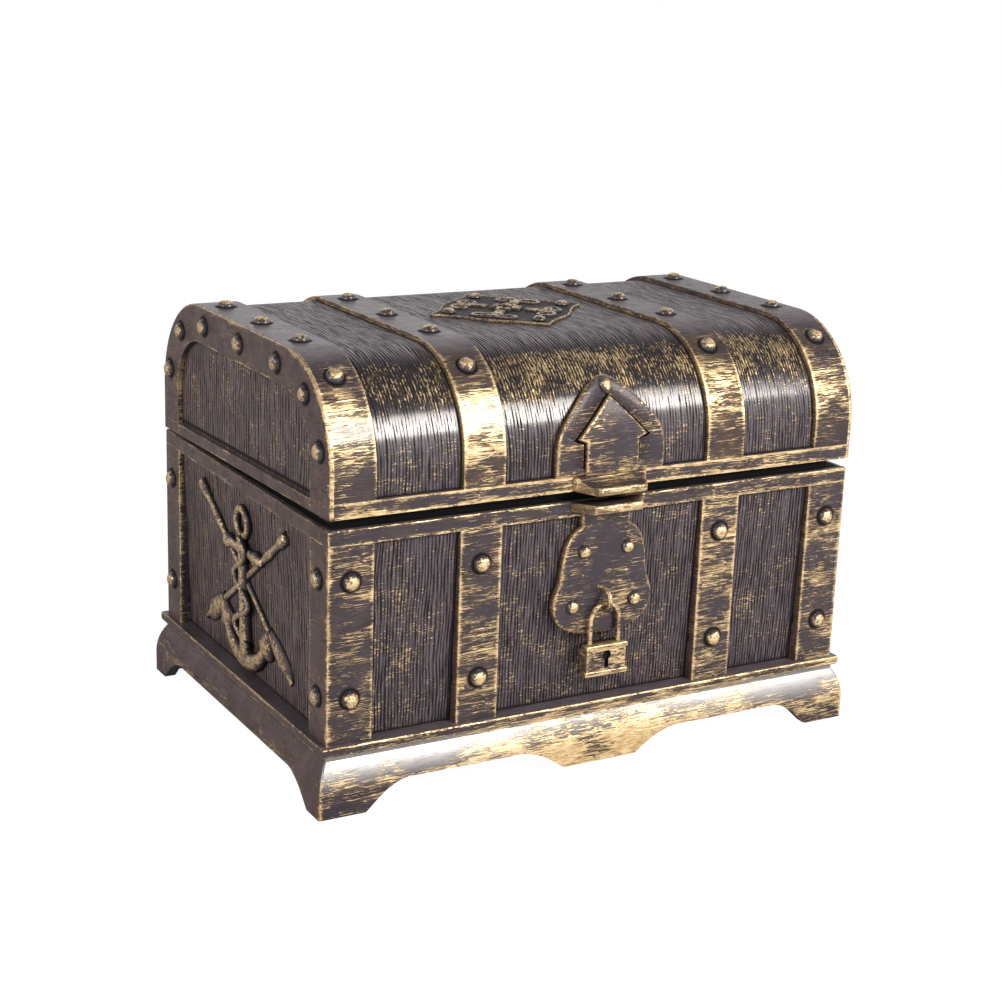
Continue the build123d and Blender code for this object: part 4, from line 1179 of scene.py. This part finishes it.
def hinge_finish():
    """Brass in two shades that lie in clouds, with fine scratches along it."""
    finish = Finish("aged_brass")
    cloud = finish.mottled(0.35, 3.0, 0.6)
    scratches = finish.brushed(6.0, 0.12).noise(2.0)
    bright = cloud.ramp(0.42, 0.66)
    finish.wire({
        "Base Color": bright.choose(DARK_BRASS, BRIGHT_BRASS),
        "Metallic": 1.0,
        "Roughness": bright.choose(0.46, 0.30) + (scratches - 0.5) * 0.2,
        "Normal": (scratches * 0.02 + cloud * 0.05).as_bump(0.6),
    })
    return finish.material


lock_paint = lock_finish()
FINISH_OF.update({"hinge": hinge_finish(), "staple": lock_paint, "padlock": lock_paint})
shown = {name: cad_piece for name, cad_piece in nodes.items() if not cad_piece.hide_render}
for name, cad_piece in shown.items():
    finish = next(FINISH_OF[start] for start in FINISH_OF if name.startswith(start))
    for place in cad_piece.material_slots:
        place.material = finish
print(len(shown), "pieces of the model are painted,", len(nodes) - len(shown), "are replaced")

# %% [markdown]
# ## Floor and light
# The photograph has a white ground and the soft, wide light of a small studio: one large softbox
# at the front right that draws the bright band along the lid's shoulder, a second one at the left,
# and a pale surround. The camera sees the surround as pure white. So do reflections, because painted
# bronze is mostly reflection, and a grey room would turn it to mud. Straight overhead the room is
# dim, which leaves the upper part of the lid's curve dark above the bright band.

# %% Surround
SURROUND_LIGHT, OVERHEAD_DARK, OVERHEAD = 0.55, 0.80, (0.50, 0.80)
world = bpy.data.worlds.new("pale_surround")
bpy.context.scene.world = world
world.use_nodes = True
surround = world.node_tree
background = surround.nodes["Background"]
rays = surround.nodes.new("ShaderNodeLightPath").outputs
seen = reduce(Field.most, [Field(rays[f"Is {kind} Ray"]) for kind in ("Camera", "Glossy", "Transmission")])
sky = Field(surround.nodes.new("ShaderNodeTexCoord").outputs["Generated"]).parts()[2]
level = seen.choose(SURROUND_LIGHT, 1.0) * (1.0 - sky.ramp(*OVERHEAD) * OVERHEAD_DARK)
surround.links.new(level.socket, background.inputs["Strength"])
background.inputs["Color"].default_value = (1.0, 1.0, 1.0, 1.0)
print("surround light:", SURROUND_LIGHT)

# %% Floor
FLOOR_HALF, PAPER, GLOW, GLOW_SHARE = 3.0, (0.86, 0.86, 0.86, 1.0), 1.14, 0.85


def floor_finish():
    """A pale floor that the camera sees as white, but for the shadow."""
    finish = Finish("pale_floor")
    finish.wire({"Base Color": PAPER, "Roughness": 0.9})
    paper = Field(finish.shader.outputs[0])
    white = paper.node("ShaderNodeEmission", {}, {"Strength": GLOW})
    seen = paper.node("ShaderNodeLightPath", {}, {}, "Is Camera Ray")
    mixed = paper.node("ShaderNodeMixShader", {}, {0: seen * GLOW_SHARE, 1: paper, 2: white})
    mixed.tree.links.new(mixed.socket, mixed.tree.nodes["Material Output"].inputs["Surface"])
    return finish.material


floor_mesh = bpy.data.meshes.new("floor")
corners = [(FLOOR_HALF * x, FLOOR_HALF * y, 0) for x, y in ((-1, -1), (1, -1), (1, 1), (-1, 1))]
floor_mesh.from_pydata(corners, [], [(0, 1, 2, 3)])
floor_mesh.materials.append(floor_finish())
floor = added("floor", floor_mesh)
print("floor:", 2 * FLOOR_HALF, "m wide")

# %% Softboxes
WARM_WHITE, AIM = (1.0, 0.945, 0.885), Vector((0.0, 0.0, 0.1))


def softbox(name, place, width, height, brightness):
    """An area light; brightness is how bright its face looks, with white as 1."""
    data = bpy.data.lights.new(name, "AREA")
    data.shape = "RECTANGLE"
    data.size, data.size_y = width, height
    data.energy = brightness * math.pi * width * height
    data.color = WARM_WHITE
    light = added(name, data)
    turned = (AIM - Vector(place)).to_track_quat("-Z", "Y").to_matrix().to_4x4()
    light.matrix_world = Matrix.Translation(place) @ turned
    print(f"{name}: {data.energy:.2f} W")


softbox("front_softbox", (0.46, -0.97, 0.70), 0.64, 0.44, 17.5)
softbox("left_softbox", (-1.4, -0.5, 0.6), 0.5, 0.5, 12.0)
